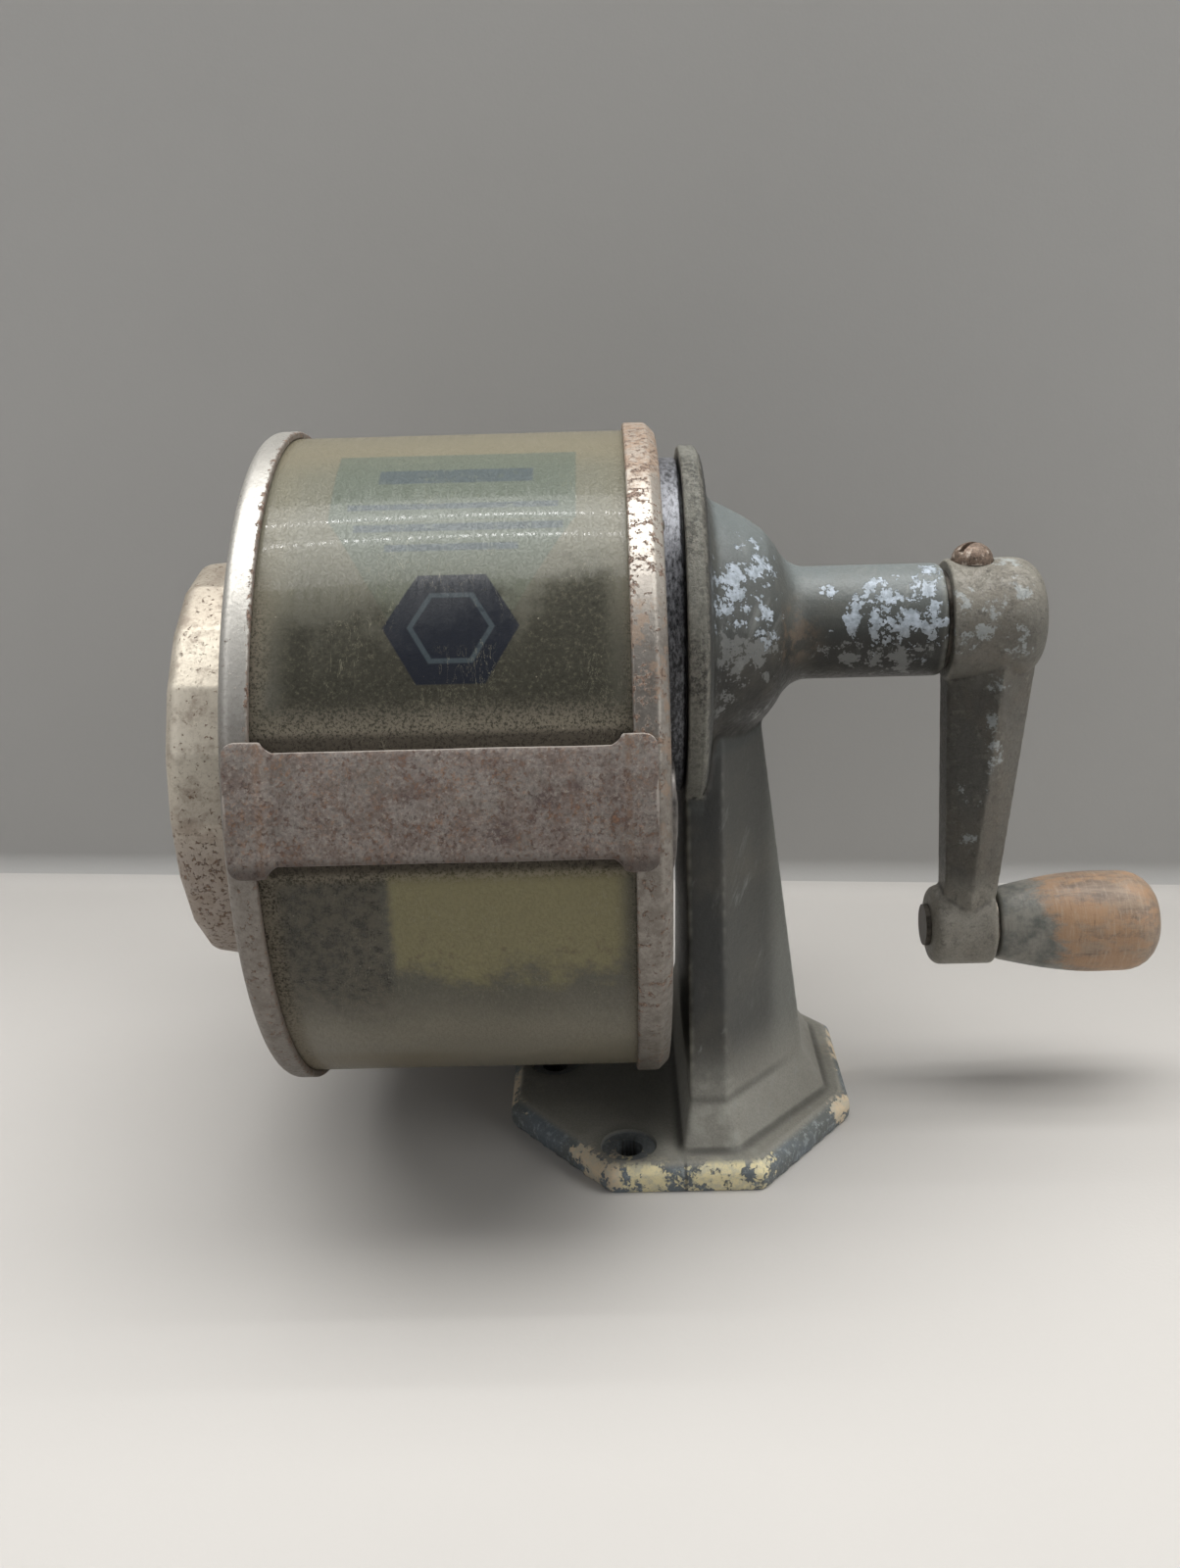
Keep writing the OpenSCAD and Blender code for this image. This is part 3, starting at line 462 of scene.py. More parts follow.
def crankEnamel():  # browner grey enamel, dusty, with pale flecks on the hub and arm; painted light and shade on the hub and arm
    finish = Finish("crank enamel", 0.46)
    sky, ridge, hollow = mark("sky"), mark("ridge"), mark("hollow")
    fine, grit = noise(0.7, 5, 0.72), noise(0.28, 3, 0.8)
    # The arm's faces towards the stand are painted darker, as shade; the arm also darkens towards the hub.
    arm = mix((atX - (atZ - knobZ) * 0.06).step(42.6, 43.6), (80, 79, 74), (97, 94, 87))
    arm = mix(atZ.step(56, 70, 0, 0.5), arm, (50, 48, 44))
    finish.colour = mix(atZ.step(32, 37), (142, 138, 128), arm)
    # The hub is painted lighter where it faces up and darker where it faces down: painted light and shade.
    finish.paint(atZ.step(63, 68), mix(sky.step(0.4, 0.9), (102, 100, 93), (136, 132, 121)))
    finish.paint(noise(8, 5, 0.65).step(0.42, 0.7, 0, 0.5), (106, 98, 86))
    mottle = noise(1.5, 8, 0.78).step(0.48, 0.62)
    finish.paint(mottle * 0.25, (152, 149, 138))
    finish.paint(noise(1.1, 7, 0.76).step(0.46, 0.36, 0, 0.5), (52, 50, 45))
    finish.paint(grit.step(0.3, 0.75, 0, 0.4), (50, 48, 44))
    finish.paint(grit.step(0.64, 0.8, 0, 0.5), (150, 146, 134))
    fold = ridge.step(0.3, 1.0) * noise(3, 4, 0.6).step(0.36, 0.6, 0.1, 1.0)
    finish.paint(fold * 0.4, (146, 143, 132))
    finish.paint(islands(crankFlecks, 1.3, 5, 0.5, 0.45) * 0.6, (166, 173, 174))
    # Hollows are darkened: grime and painted shade.
    finish.paint(hollow.step(0.12, 0.8, 0, 0.85), enamel["grimeAndShade"])
    finish.give("Roughness", fine.step(0.3, 0.8, 0.38, 0.62))
    return finish.done((mottle, 0.05), (noise(2.0, 4, 0.6), 0.2), (fine, 0.12), (grit, 0.02))


def capMetal(name, light, shade, amount, tint, stain, lowerShadeAngles):  # dull plating, with masks for rust and tint, painted darker on its lower side as shade
    shine = 0.72
    finish = Finish(name, 0.36, shine)
    fine, grit = noise(0.55, 6, 0.75), noise(0.25, 3, 0.8)
    finish.colour = mix(noise(7, 5, 0.65), shade, light)
    dull = mix(noise(1.6, 7, 0.75).step(0.42, 0.6), (126, 121, 115), (98, 91, 85))
    # The lower part is painted darker and duller between the given angles: painted shade.
    finish.paint(angleAt(drumZ).step(*lowerShadeAngles, 0, 0.85), dull)
    finish.paint(tint, stain)
    finish.paint(fine.step(0.45, 0.75, 0, 0.5), (104, 97, 90))
    finish.paint(grit.step(0.66, 0.78, 0, 0.5), (206, 202, 194))
    pits = finish.rust(amount)
    finish.give("Metallic", (pits | tint).step(0, 1, shine, 0.1))
    finish.give("Roughness", fine.step(0.3, 0.8, 0.34, 0.54) + (pits | tint) * 0.22)
    return finish.done((pits, 0.04), (noise(3, 4, 0.6), 0.06), (fine, 0.04), (grit, 0.015))


def frontNickel():  # grey plating, brown dust in the groove against the drum, browner low down
    low = angleAt(drumZ).step(36, -10, 0, 0.3)
    groove = (atX + noise(1.5, 5, 0.7)).step(frontFace + 3.9, frontFace + 4.3, 0, 0.9)
    amount = atX.step(frontFace + 2.6, frontFace + 3.8, 0, 0.5) | noise(6, 3).step(0.46, 0.66, 0, 0.24) | low
    return capMetal("front cap nickel", (206, 203, 196), (176, 174, 168), amount, low | groove,
                    (108, 98, 89), (38, 12))


def rearNickel():  # brown along the top, bright with rust specks below it, then darker lower down: more rust there, and painted shade
    turn = angleAt(drumZ)
    mottle = noise(1.5, 8, 0.78).step(0.42, 0.56, 0.4, 1)
    top = (turn + noise(2.2, 8, 0.74) * 40).step(78, 92, 0, 0.9) * mottle
    drips = noise(3.2, 8, 0.74).step(0.53, 0.58) * turn.band(6, 46, 6) * 0.55
    bright = turn.band(40, 74, 8) * noise(2.2, 6).step(0.46, 0.6, 0.14, 0.6)
    amount = turn.step(56, 72, 0, 0.42) | bright | noise(5, 3).step(0.4, 0.6, 0, 0.42)
    amount = amount | turn.step(30, 0, 0, 0.3) | atX.step(rearFace - 3.5, rearFace - 4.3, 0, 0.5)
    return capMetal("rear cap nickel", (198, 192, 182), (160, 154, 146), amount, top | drips,
                    (148, 124, 103), (50, 32))


strapStains = ((-16.9, -44.9, 64.6, 2.4), (-13.4, -45.4, 66.0, 1.8), (-33.0, -45.6, 65.5, 2.0),
               (-22.5, -45.6, 60.6, 2.8), (-30, 45, 62, 2.8))


def strapSteel():  # sheet steel gone evenly rusty, darker in blotches, bare along its edges, with a painted highlight on the upper edges and painted shade along the lower edge
    finish = Finish("strap steel", 0.55, 0.25)
    fine, grit = noise(0.5, 6, 0.78), noise(0.22, 3, 0.8)
    finish.colour = mix(noise(3.2, 10, 0.72).step(0.43, 0.57), (137, 129, 123), (120, 107, 100))
    finish.paint(fine.step(0.48, 0.38, 0, 0.6), (78, 72, 68))
    finish.paint(fine.step(0.52, 0.62, 0, 0.6), (170, 163, 154))
    blotch = noise(6.5, 8, 0.72, 0.3).step(0.45, 0.65)
    finish.paint(blotch * 0.4, (106, 92, 87))
    finish.paint(noise(9, 6, 0.7).step(0.5, 0.7, 0, 0.4), (108, 106, 98))
    speck = (noise(0.8, 8, 0.78) + blotch * 0.06).step(0.57, 0.62)
    finish.paint(speck * 0.7, mix(noise(2.6, 5, 0.7).step(0.4, 0.6), (84, 62, 58), (134, 98, 76)))
    rusty = noise(0.6, 8, 0.8).step(0.52, 0.6) * noise(5, 5, 0.7).step(0.42, 0.6, 0.25, 1)
    finish.paint(rusty * 0.6, (152, 114, 86))
    for *point, wide in strapStains:
        finish.paint(near(point, wide) * noise(0.7, 6, 0.75).step(0.4, 0.56, 0, 0.7), (76, 58, 56))
    finish.paint(grit.step(0.64, 0.76, 0, 0.6), (172, 165, 157))
    finish.paint(grit.step(0.36, 0.26, 0, 0.6), (52, 46, 44))
    folds = atX.band(frontFace + 4.4, frontFace + 5.1, 0.3) | atX.band(rearFace - 5.4, rearFace - 4.7, 0.3)
    finish.paint(folds * noise(0.9, 6, 0.75).step(0.4, 0.6, 0, 0.6), (122, 92, 70))
    # Painted shade along the strap's lower edge.
    finish.paint(angleAt(drumZ).step(3.8, 1.4) * fine.step(0.3, 0.6, 0.3, 0.8), (58, 50, 46))
    # The pale worn edges are kept mostly to the upper side: wear with a painted highlight.
    worn = (mark("ridge") + fine * 0.5).step(0.6, 0.85) * angleAt(drumZ).step(6, 12, 0.1, 0.75)
    finish.paint(worn, (176, 168, 160))
    # Hollows are darkened: grime and painted shade.
    finish.paint(mark("hollow").step(0.1, 0.7, 0, 0.7), (60, 48, 42))
    finish.give("Roughness", fine.step(0.3, 0.8, 0.42, 0.66))
    return finish.done((speck, 0.06), (fine, 0.13), (grit, 0.04))


def dialNickel():  # bright plating with brown stains and pits, the lower facets painted darker as shade
    finish = Finish("dial nickel", 0.4, 0.6)
    turn = angleAt(drumZ)
    fine, grit = noise(0.5, 6, 0.75), noise(0.22, 3, 0.8)
    # The lower facets are painted darker: painted shade.
    low = turn.step(16, -14)
    finish.colour = mix(low, (200, 192, 177), (152, 142, 133))
    stain = noise(3.4, 7, 0.7).step(0.46, 0.66, 0, 0.7)
    finish.paint(stain, (136, 122, 108))
    finish.paint(turn.step(50, 60, 0, 0.45), (136, 124, 110))
    finish.paint(fine.step(0.5, 0.75, 0, 0.5), (124, 113, 102))
    finish.paint(grit.step(0.64, 0.76, 0, 0.5), (222, 216, 204))
    pits = finish.rust(low.step(0, 1, 0.26, 0.4), 0.8, (86, 66, 54), (140, 116, 98))
    finish.give("Metallic", (pits | stain).step(0, 1, 0.6, 0.3))
    finish.give("Roughness", fine.step(0.3, 0.8, 0.42, 0.62) + pits * 0.2)
    return finish.done((pits, 0.05), (noise(2.5, 4, 0.6), 0.07), (fine, 0.03))


drumLook = dict(
    top=(133, 127, 107), middle=(122, 121, 106), low=(86, 84, 72), dark=(50, 49, 42), dust=(124, 116, 103),
    backlitPatch=(128, 121, 86), panel=(86, 98, 88), ink=(26, 30, 40), faint=(76, 86, 90), paintedFloorReflection=(116, 106, 84),
    panelStart=-43.2, panelEnd=-12.8, emblemX=-27.7, emblemTurn=37.6, emblemHalf=7.15,
    rules=((67.3, 71.5, -37.6, -18.2), (60.3, 61.7, -41, -15), (55.3, 56.9, -40, -14.4),
           (51.2, 52.6, -36, -19.8)))


def drumCelluloid():  # hazy olive: a plain printed panel on top, dust and shavings showing low down; painted shade, sheen, light from behind and a floor reflection
    finish = Finish("drum celluloid", 0.42)
    look = drumLook
    turn = angleAt(drumZ, False)
    grit, fine = noise(0.35, 4, 0.8), noise(1.4, 7, 0.72)
    sides = (atX - reach("drum")[0].x) & (reach("drum")[1].x - atX)
    finish.colour = mix(turn.step(80, 68), look["top"], look["middle"])
    # Painted shade: the drum darkens from 56 degrees down to 36.
    finish.paint(turn.step(56, 36), look["low"])
    # Painted sheen: lighter near both ends on the upper side.
    finish.paint(sides.step(7, 2) * turn.step(30, 44) * 0.4, look["top"])
    slope = (58 - turn) * 0.42
    narrow = (atX - slope - look["panelStart"]).step(-0.15, 0.15)
    narrow = narrow * (look["panelEnd"] - atX - slope).step(-0.15, 0.15)
    panel = atX.band(look["panelStart"], look["panelEnd"], 0.15) * turn.band(57.5, 77.4, 0.25)
    panel = panel | narrow * turn.band(34, 57.5, 0.25)
    finish.paint(panel * 0.72, mix(turn.step(40, 56), (84, 88, 74), look["panel"]))
    rules = 0.0
    for low, high, start, end in look["rules"]:
        rules = atX.band(start, end, 0.12) * turn.band(low, high, 0.25) | rules
    rubbed = fine.step(0.3, 0.5, 0.4, 1)
    finish.paint(rules * rubbed * 0.85, look["faint"])
    # The dark inside seen through the celluloid, with its motes: shavings and painted shade.
    ragged = (noise(7, 8, 0.7) - 0.5) * 34 + atX.step(-24, -8) * -9
    murk = (turn + ragged).step(45, 33) * (sides + fine * 2.0).step(3.2, 7.6)
    murk = murk * turn.step(20.5, 27) * turn.step(0, 1)
    finish.paint(murk * 0.86, look["dark"])
    motes = noise(0.6, 8, 0.8)
    finish.paint(murk * motes.step(0.5, 0.68, 0, 0.55), (112, 108, 92))
    finish.paint(murk * motes.step(0.46, 0.34, 0, 0.6), (28, 27, 22))
    up = abs((turn - look["emblemTurn"]) * (drumR * math.pi / 180))
    hexagon = up | abs(atX - look["emblemX"]) * 0.866 + up * 0.5
    emblem = hexagon.step(look["emblemHalf"], look["emblemHalf"] - 0.25)
    finish.paint(emblem * 0.93, look["ink"])
    finish.paint(hexagon.band(3.9, 4.5, 0.12) * rubbed * 0.6, look["faint"])
    # Below the strap: painted shade of the inside at the left, a lighter patch of painted light let through
    # from behind, and a painted floor reflection along the bottom at the front.
    lower = mix(fine.step(0.36, 0.62), (50, 48, 39), (86, 81, 68))
    lower = mix((atX + fine * 3).step(-36.5, -34), lower, look["low"])
    lower = mix((turn + noise(9, 5, 0.6) * 12).step(-12, -30), lower, (126, 121, 107))
    backlitPatchEnd = (turn + (noise(6, 7, 0.7) - 0.5) * 26).step(-22, -15)
    backlitPatch = (atX + fine * 2).step(-35.6, -34.4) * atX.step(-6.5, -9.5) * backlitPatchEnd
    lower = mix(backlitPatch * 0.9, lower, look["backlitPatch"])
    brown = backlitPatch * turn.step(-8, -16) * noise(2, 8, 0.75).step(0.55, 0.62)
    lower = mix(brown * 0.5, lower, (74, 62, 48))
    lower = mix(turn.step(-40, -46) * atX.step(-26, -38, 0.28, 0.8), lower, look["paintedFloorReflection"])
    finish.paint(turn.step(2, -2), lower)
    border = (sides + fine * 3).step(6.4, 2.6) | turn.step(28, 22) * turn.step(5, 8)
    border = (border | turn.step(-2.5, 0) * turn.step(5, 2)) * turn.step(62, 34)
    dust = (grit + border * 0.08).step(0.49, 0.6)
    finish.paint(dust * border * 0.75, look["dust"])
    finish.paint(grit.step(0.5, 0.36) * border * 0.7, (52, 47, 41))
    # Painted shade in the crevices against both caps and along the strap's edges, with a painted shadow line
    # just below the strap.
    crevicesAndStrapShadow = sides.step(1.2, 0.55) | turn.step(22.2, 20.6) * turn.step(8, 10) | turn.band(0.2, 3, 0.7)
    finish.paint(crevicesAndStrapShadow * 0.7, (44, 38, 33))
    specks = cells(1.9, "Distance").step(0.075, 0.04) * noise(5, 2).step(0.46, 0.56)
    finish.paint(specks * 0.6, (158, 152, 134))
    hairs = noise(2.2, 4, 0.75, 0.6, (1, 0.3, 0.3))
    finish.paint(hairs.band(0.496, 0.504, 0.003) * noise(9, 2).step(0.5, 0.6) * 0.4, (150, 146, 126))
    hoops = noise(0.45, 3, 0.7, 0, (1, 0.02, 0.02))
    dirty = border | murk
    finish.give("Alpha", (murk | border * 0.9 | panel * 0.9 | emblem).step(0, 1, 0.86, 0.99))
    finish.give("Specular IOR Level", dirty.step(0, 1, 0.22, 0.1))
    finish.give("Roughness", dirty.step(0, 1, 0.4, 0.65))
    finish.give("Coat Weight", dirty.step(0, 1, 0.4, 0.0))
    finish.give("Coat Roughness", hoops.step(0.42, 0.58, 0.05, 0.24))
    return finish.done((hoops, 0.012), (dust, 0.03))


def bluedSteel():  # dark blued steel, rubbed and scratched along the shaft's direction, with a painted highlight towards the top
    finish = Finish("collar steel", 0.42, 0.5)
    marks = noise(0.5, 7, 0.78, 0, (1, 0.4, 0.4))
    # A little more of the light colour towards the top: a painted highlight.
    rubbed = (marks + atZ.step(70, 92) * 0.08).step(0.42, 0.68)
    finish.colour = mix(rubbed, (44, 45, 48), (138, 140, 146))
    finish.give("Roughness", marks.step(0.3, 0.8, 0.3, 0.56))
    return finish.done((marks, 0.05))


def wornMetal(name, dark, light, roughness=0.38, stain=0.25):  # bare metal
    finish = Finish(name, roughness, 0.85)
    fine = noise(0.8, 5, 0.7)
    finish.colour = mix(fine.step(0.3, 0.75), dark, light)
    finish.paint(noise(4, 5, 0.65).step(0.55, 0.7, 0, stain), (70, 54, 42))
    finish.give("Roughness", fine.step(0.3, 0.8, roughness - 0.08, roughness + 0.12))
    return finish.done((fine, 0.02))


def rustedScrew():
    finish = Finish("rusted screw", 0.55, 0.4)
    fine = noise(0.5, 5, 0.75)
    finish.colour = mix(fine.step(0.3, 0.72), (70, 58, 50), (142, 122, 106))
    finish.paint(noise(0.9, 4).step(0.52, 0.66), (176, 164, 152))
    finish.paint(mark("hollow").step(0.2, 0.8), (30, 24, 22))
    return finish.done((fine, 0.06))


knobLook = dict(paint=(92, 94, 90), worn=(134, 132, 124), under=(96, 90, 80), wood=(150, 130, 110),
                dark=(112, 95, 82), pale=(174, 158, 140), orange=(162, 129, 99), paintEnd=8.6, fray=1.8)


def knobWood():  # turned wood, its paint worn off towards the outer end
    finish = Finish("knob wood", 0.5)
    look = knobLook
    rings = noise(0.5, 5, 0.75, 0.15, (1, 0.16, 0.16))
    grain = noise(1.6, 6, 0.7, 0.3, (0.25, 1.0, 1.0))
    wood = mix(grain.step(0.32, 0.66), look["dark"], look["wood"])
    wood = mix(noise(4.5, 6, 0.7, 0, (0.6, 1, 1)).step(0.46, 0.6, 0, 0.85), wood, look["orange"])
    wood = mix(rings.step(0.5, 0.7, 0, 0.45), wood, look["pale"])
    wood = mix(rings.step(0.44, 0.3, 0, 0.45), wood, (88, 72, 62))
    paint = mix(noise(3.2, 6, 0.7).step(0.36, 0.64), look["paint"], look["worn"])
    paint = mix(rings.step(0.45, 0.7, 0, 0.35), paint, look["under"])
    along = atX - reach("knob")[0].x
    edge = along + (atZ - knobZ) * 0.35 + (noise(3.4, 8, 0.74, 0.3, (0.5, 1, 1)) - 0.5) * 18
    painted = edge.step(look["paintEnd"] + look["fray"], look["paintEnd"] - look["fray"])
    finish.colour = mix(painted, wood, paint)
    finish.paint(along.step(21.5, 25.5, 0, 0.6), (112, 104, 96))
    finish.give("Roughness", painted.step(0, 1, 0.5, 0.4))
    return finish.done((painted, 0.04), (grain, 0.06), (rings, 0.05))


# The stand: plate, skirt, pedestal, bell and neck melt into one casting.
plate = dict(length=50.8, width=59.2, cutX=14.6, cutY=18.1, thick=4, bevel=1.3,
             holes=((-8, 23.6), (-8, -23.6), (-19, 0)), holeR=2, dishR=4.2, dish=0.6)
pedestal = dict(foot=9.7, footHalf=22.8, footDeep=17.7, waist=66, waistHalf=10.9, waistDeep=10.6,
                facet=5.2, flare=3.6, wall=3, roof=53, roofHalf=13.65, roofDeep=12.24, grain=0.5, soften=5)
bell = dict(flange=24.9, lip=2.2, neck=7.9, spigot=21.5, spigotX=-4.0, bore=18.7, gear=14.62, gearEnd=6.05,
            disc=11.75, discEnd=11.25, bush=5.54,
            outline=((3.05, 24.1), (3.2, 24.1), (3.85, 23.9), (4.55, 18.5), (5.15, 17.5), (7.14, 16.6),
                     (10.03, 15.0), (12.58, 13.2), (14.11, 11.3), (14.96, 9.8), (16.32, 8.5), (17.85, 7.9)))


def mirrored(points):
    return list(points) + [(x, -y) for x, y in reversed(points)]


def platePlan(grow):
    halfX, halfY = plate["length"] / 2 + grow, plate["width"] / 2 + grow
    return mirrored([(-halfX, halfY - plate["cutY"]), (plate["cutX"] - halfX, halfY),
                     (halfX - plate["cutX"], halfY), (halfX, halfY - plate["cutY"])])


def pedestalPlan(half, deep, grow=0):
    front, corner = flangeX - 0.35 * grow, flangeX + pedestal["facet"] + 0.4 * grow
    return mirrored([(front, half + grow), (corner, half + grow),
                     (flangeX + deep + grow, 0.38 * half + 0.4 * grow)])


def insetPlan(plan, wall):
    corners = [Vector(point) for point in plan]
    inner = []
    for i, corner in enumerate(corners):
        into = (corner - corners[i - 1]).normalized()
        away = (corners[(i + 1) % len(corners)] - corner).normalized()
        sides = Vector((into.y, -into.x)), Vector((away.y, -away.x))
        inner.append(corner + (sides[0] + sides[1]) * wall / (1 + sides[0].dot(sides[1])))
    return inner


def level(plan, z):
    return [(x, y, z) for x, y in plan]


def standCasting():
    p, b, top = pedestal, bell, plate["thick"]
    edge, bevel = platePlan(0), plate["bevel"]
    slab = loft([level(edge, 0), level(edge, top - bevel), level(platePlan(-bevel), top)])
    foot = pedestalPlan(p["footHalf"], p["footDeep"])
    flared = pedestalPlan(p["footHalf"], p["footDeep"], p["flare"])
    skirt = loft([level(flared, top - 0.3), level(foot, p["foot"] + 0.2)])
    leg = loft([level(foot, p["foot"]), level(pedestalPlan(p["waistHalf"], p["waistDeep"]), p["waist"])])
    horn = lathe([(flangeX, 0), (flangeX, b["flange"] - 0.6), *b["outline"], (neckEnd, b["neck"]),
                  (neckEnd, 0)], shaftZ)
    casting = castTogether(makePiece("standCasting", slab, skirt, leg, horn), p["grain"], p["soften"])
    lip = rounded([(b["spigotX"], 8), (b["spigotX"], b["spigot"], 0.5), (flangeX, b["spigot"]),
                   (flangeX, b["flange"], 0.35), (flangeX + b["lip"], b["flange"], 0.5), (flangeX + 2.9, 23.7),
                   (flangeX + b["lip"], 8)])
    combine(casting, "UNION", lathe(lip, shaftZ, 240))
    roof = pedestalPlan(p["roofHalf"], p["roofDeep"])
    cave = loft([level(insetPlan(foot, p["wall"]), -1), level(insetPlan(roof, p["wall"]), p["roof"])])
    bores = lathe([(b["spigotX"] - 1, 0), (b["spigotX"] - 1, b["bore"]), (flangeX, b["bore"]),
                   (flangeX, b["gear"]), (b["gearEnd"], b["gear"]), (b["gearEnd"], b["disc"]),
                   (b["discEnd"], b["disc"]),
                   (b["discEnd"], b["bush"]), (neckEnd + 1, b["bush"]), (neckEnd + 1, 0)], shaftZ, 96)
    seat = top - plate["dish"]
    hole = [(plate["holeR"], -1), (plate["holeR"], seat), (plate["dishR"] - 0.4, seat + 0.1),
            (plate["dishR"] + 0.2, top + 1)]
    combine(casting, "DIFFERENCE", cave, bores, *[upright(hole, x, y) for x, y in plate["holes"]])
    markEdges(casting, 1.4, 2)
    return settle(casting, 50)


place(standCasting(), standEnamel(), "stand", "stand_enamel", "stand")

# The receptacle: two pressed caps, the drum between them, two straps and the collar.
caps = dict(sheet=1.0, frontRim=3.8, rearRim=4.4, corner=1.7, bevel=1.4, plateau=27.6, hole=6.8, rivet=2.42,
            detent=1.02)


def frontCap():
    c = caps
    face, end, inner = frontFace, frontFace + c["frontRim"], rimR - c["sheet"]
    faceBack, plateauBack = face + c["sheet"], plateauX + c["sheet"]
    outline = rounded([(plateauX, c["rivet"]), (plateauX, c["plateau"] - 1, 0.5), (face, c["plateau"], 0.5),
                       (face, rimR, c["corner"]), (end, rimR, 0.35), (end, inner, 0.3), (faceBack, inner, 1.6),
                       (faceBack, c["plateau"] - c["sheet"]), (plateauBack, c["plateau"] - 1 - c["sheet"]),
                       (plateauBack, c["rivet"])], turn=10)
    cap = makePiece("frontCap", lathe(outline, drumZ, 256))
    combine(cap, "DIFFERENCE", rod(plateauX - 1, face + 2, c["hole"], shaftZ),
            rod(plateauX - 1, face + 2, c["detent"], drumZ - 8, 32))
    return settle(cap)


def rearCap():
    c = caps
    inner, bevelX, end = rimR - c["sheet"], rearFace - c["bevel"], rearFace - c["rearRim"]
    back, low = rearFace - c["sheet"], rimR - c["bevel"]
    outline = rounded([(rearFace, 0.5), (rearFace, low, 1.0), (bevelX, rimR, 1.0), (end, rimR, 0.35),
                       (end, inner, 0.3), (bevelX - 0.4, inner, 0.5), (back, low - 0.4, 0.5), (back, 0.5)],
                      turn=10)
    cap = makePiece("rearCap", lathe(outline, drumZ, 256))
    return settle(combine(cap, "DIFFERENCE", rod(rearFace - 2, rearFace + 1, 23.32, shaftZ, 160)))


def drumShell():
    start, end = [corner.x for corner in reach("drum")]
    inner = drumR - 0.9
    outline = rounded([(start, inner, 0.2), (start, drumR, 0.25), (end, drumR, 0.25), (end, inner, 0.2)],
                      turn=30)
    return settle(makePiece("drumShell", lathe(outline, drumZ, 256)))


straps = dict(lift=10.5, midHalf=6.85, tabHalf=8.1, thick=0.7, startGap=0.7, endGap=1.6, shoulder=2.4,
              corner=1.6, play=0.02, across=17)


def ease(share):  # smooth rise from 0 to 1
    share = min(max(share, 0), 1)
    return share * share * (3 - 2 * share)


def strap(name, side):  # follows the rim, steps down to the drum and up to the other rim
    s = straps
    x0, x1 = frontFace + s["startGap"], rearFace - s["endGap"]
    fold0, fold1 = frontFace + caps["frontRim"] + 0.15, rearFace - caps["rearRim"] - 0.15
    ends = [spot for gap in (0, 0.15, 0.5, 1, s["corner"]) for spot in (x0 + gap, x1 - gap)]
    stops = sorted({round(x, 3) for x in [*ends, *np.linspace(fold0 - 0.4, fold0 + s["shoulder"], 12),
                                          *np.linspace(fold1 + 0.4, fold1 - s["shoulder"], 12),
                                          *np.linspace(fold0 + 4, fold1 - 4, 24)]})
    rows = []
    for x in stops:
        drop = min((x - fold0) / s["shoulder"], (fold1 - x) / s["shoulder"])
        radius = rimR + (drumR - rimR) * ease(drop) + s["play"]
        half = s["tabHalf"] + (s["midHalf"] - s["tabHalf"]) * min(max(2 * drop - 1, 0), 1) ** 0.5
        inset = min(x - x0, x1 - x, s["corner"])
        half -= s["corner"] - math.sqrt(max(s["corner"] ** 2 - (s["corner"] - inset) ** 2, 0))
        half += 0.12 * ripple.noise(Vector((x / 9, side, 0)))
        angles = [math.radians(s["lift"]) + half / rimR * t for t in np.linspace(-1, 1, s["across"])]
        under, over = [[(x, -side * r * math.cos(a), drumZ + r * math.sin(a)) for a in angles]
                       for r in (radius, radius + s["thick"])]
        rows.append(under + over[::-1])
    shape = loft(rows, capped=False)
    spots, count = list(shape.verts), 2 * s["across"]
    for row in (spots[:count], spots[-count:]):
        for i in range(s["across"] - 1):
            shape.faces.new((row[i], row[i + 1], row[-2 - i], row[-1 - i]))
    bmesh.ops.recalc_face_normals(shape, faces=shape.faces)
    piece = softEdges(makePiece(name, shape), 0.14, 2, 50)
    markEdges(piece, 0.3, 0)
    return settle(piece, 35)


def mountCollar():
    back, end, inner = rearFace - 2 * caps["sheet"], flangeX - 0.3, 21.8
    step = back + 0.98
    outline = rounded([(back, inner), (back, 25.6, 0.25), (step, 25.6, 0.25), (step, 23.3), (end, 23.3, 0.35),
                       (end, inner, 0.25)])
    return settle(makePiece("mountCollar", lathe(outline, shaftZ, 200)))


leaf = dict(thick=0.8, footRound=5.9, tipRound=5.0, bow=0.3, bowStart=-6.5, bowLength=5)


def latchSpring():  # leaf with a rounded end and a pressed bump
    low, high = reach("latch_spring")
    middle, halfY, halfZ = (low + high) / 2, (high.y - low.y) / 2, (high.z - low.z) / 2
    foot, tip, thick = leaf["footRound"], leaf["tipRound"], leaf["thick"]
    plan = rounded([(-halfY, -halfZ, foot), (halfY, -halfZ, foot), (halfY, halfZ, tip), (-halfY, halfZ, tip)])
    layers = ((0, 0.97), (0.12, 1), (thick - 0.15, 1), (thick, 0.965), (thick + 0.02, 0.55),
              (thick + 0.3, 0.42), (thick + 0.34, 0.2))
    sections = [[(low.x + x + leaf["bow"] * ease((share * z - leaf["bowStart"]) / leaf["bowLength"]),
                  middle.y + share * y, middle.z + share * z) for y, z in plan] for x, share in layers]
    return settle(makePiece("latchSpring", loft(sections)), 35)


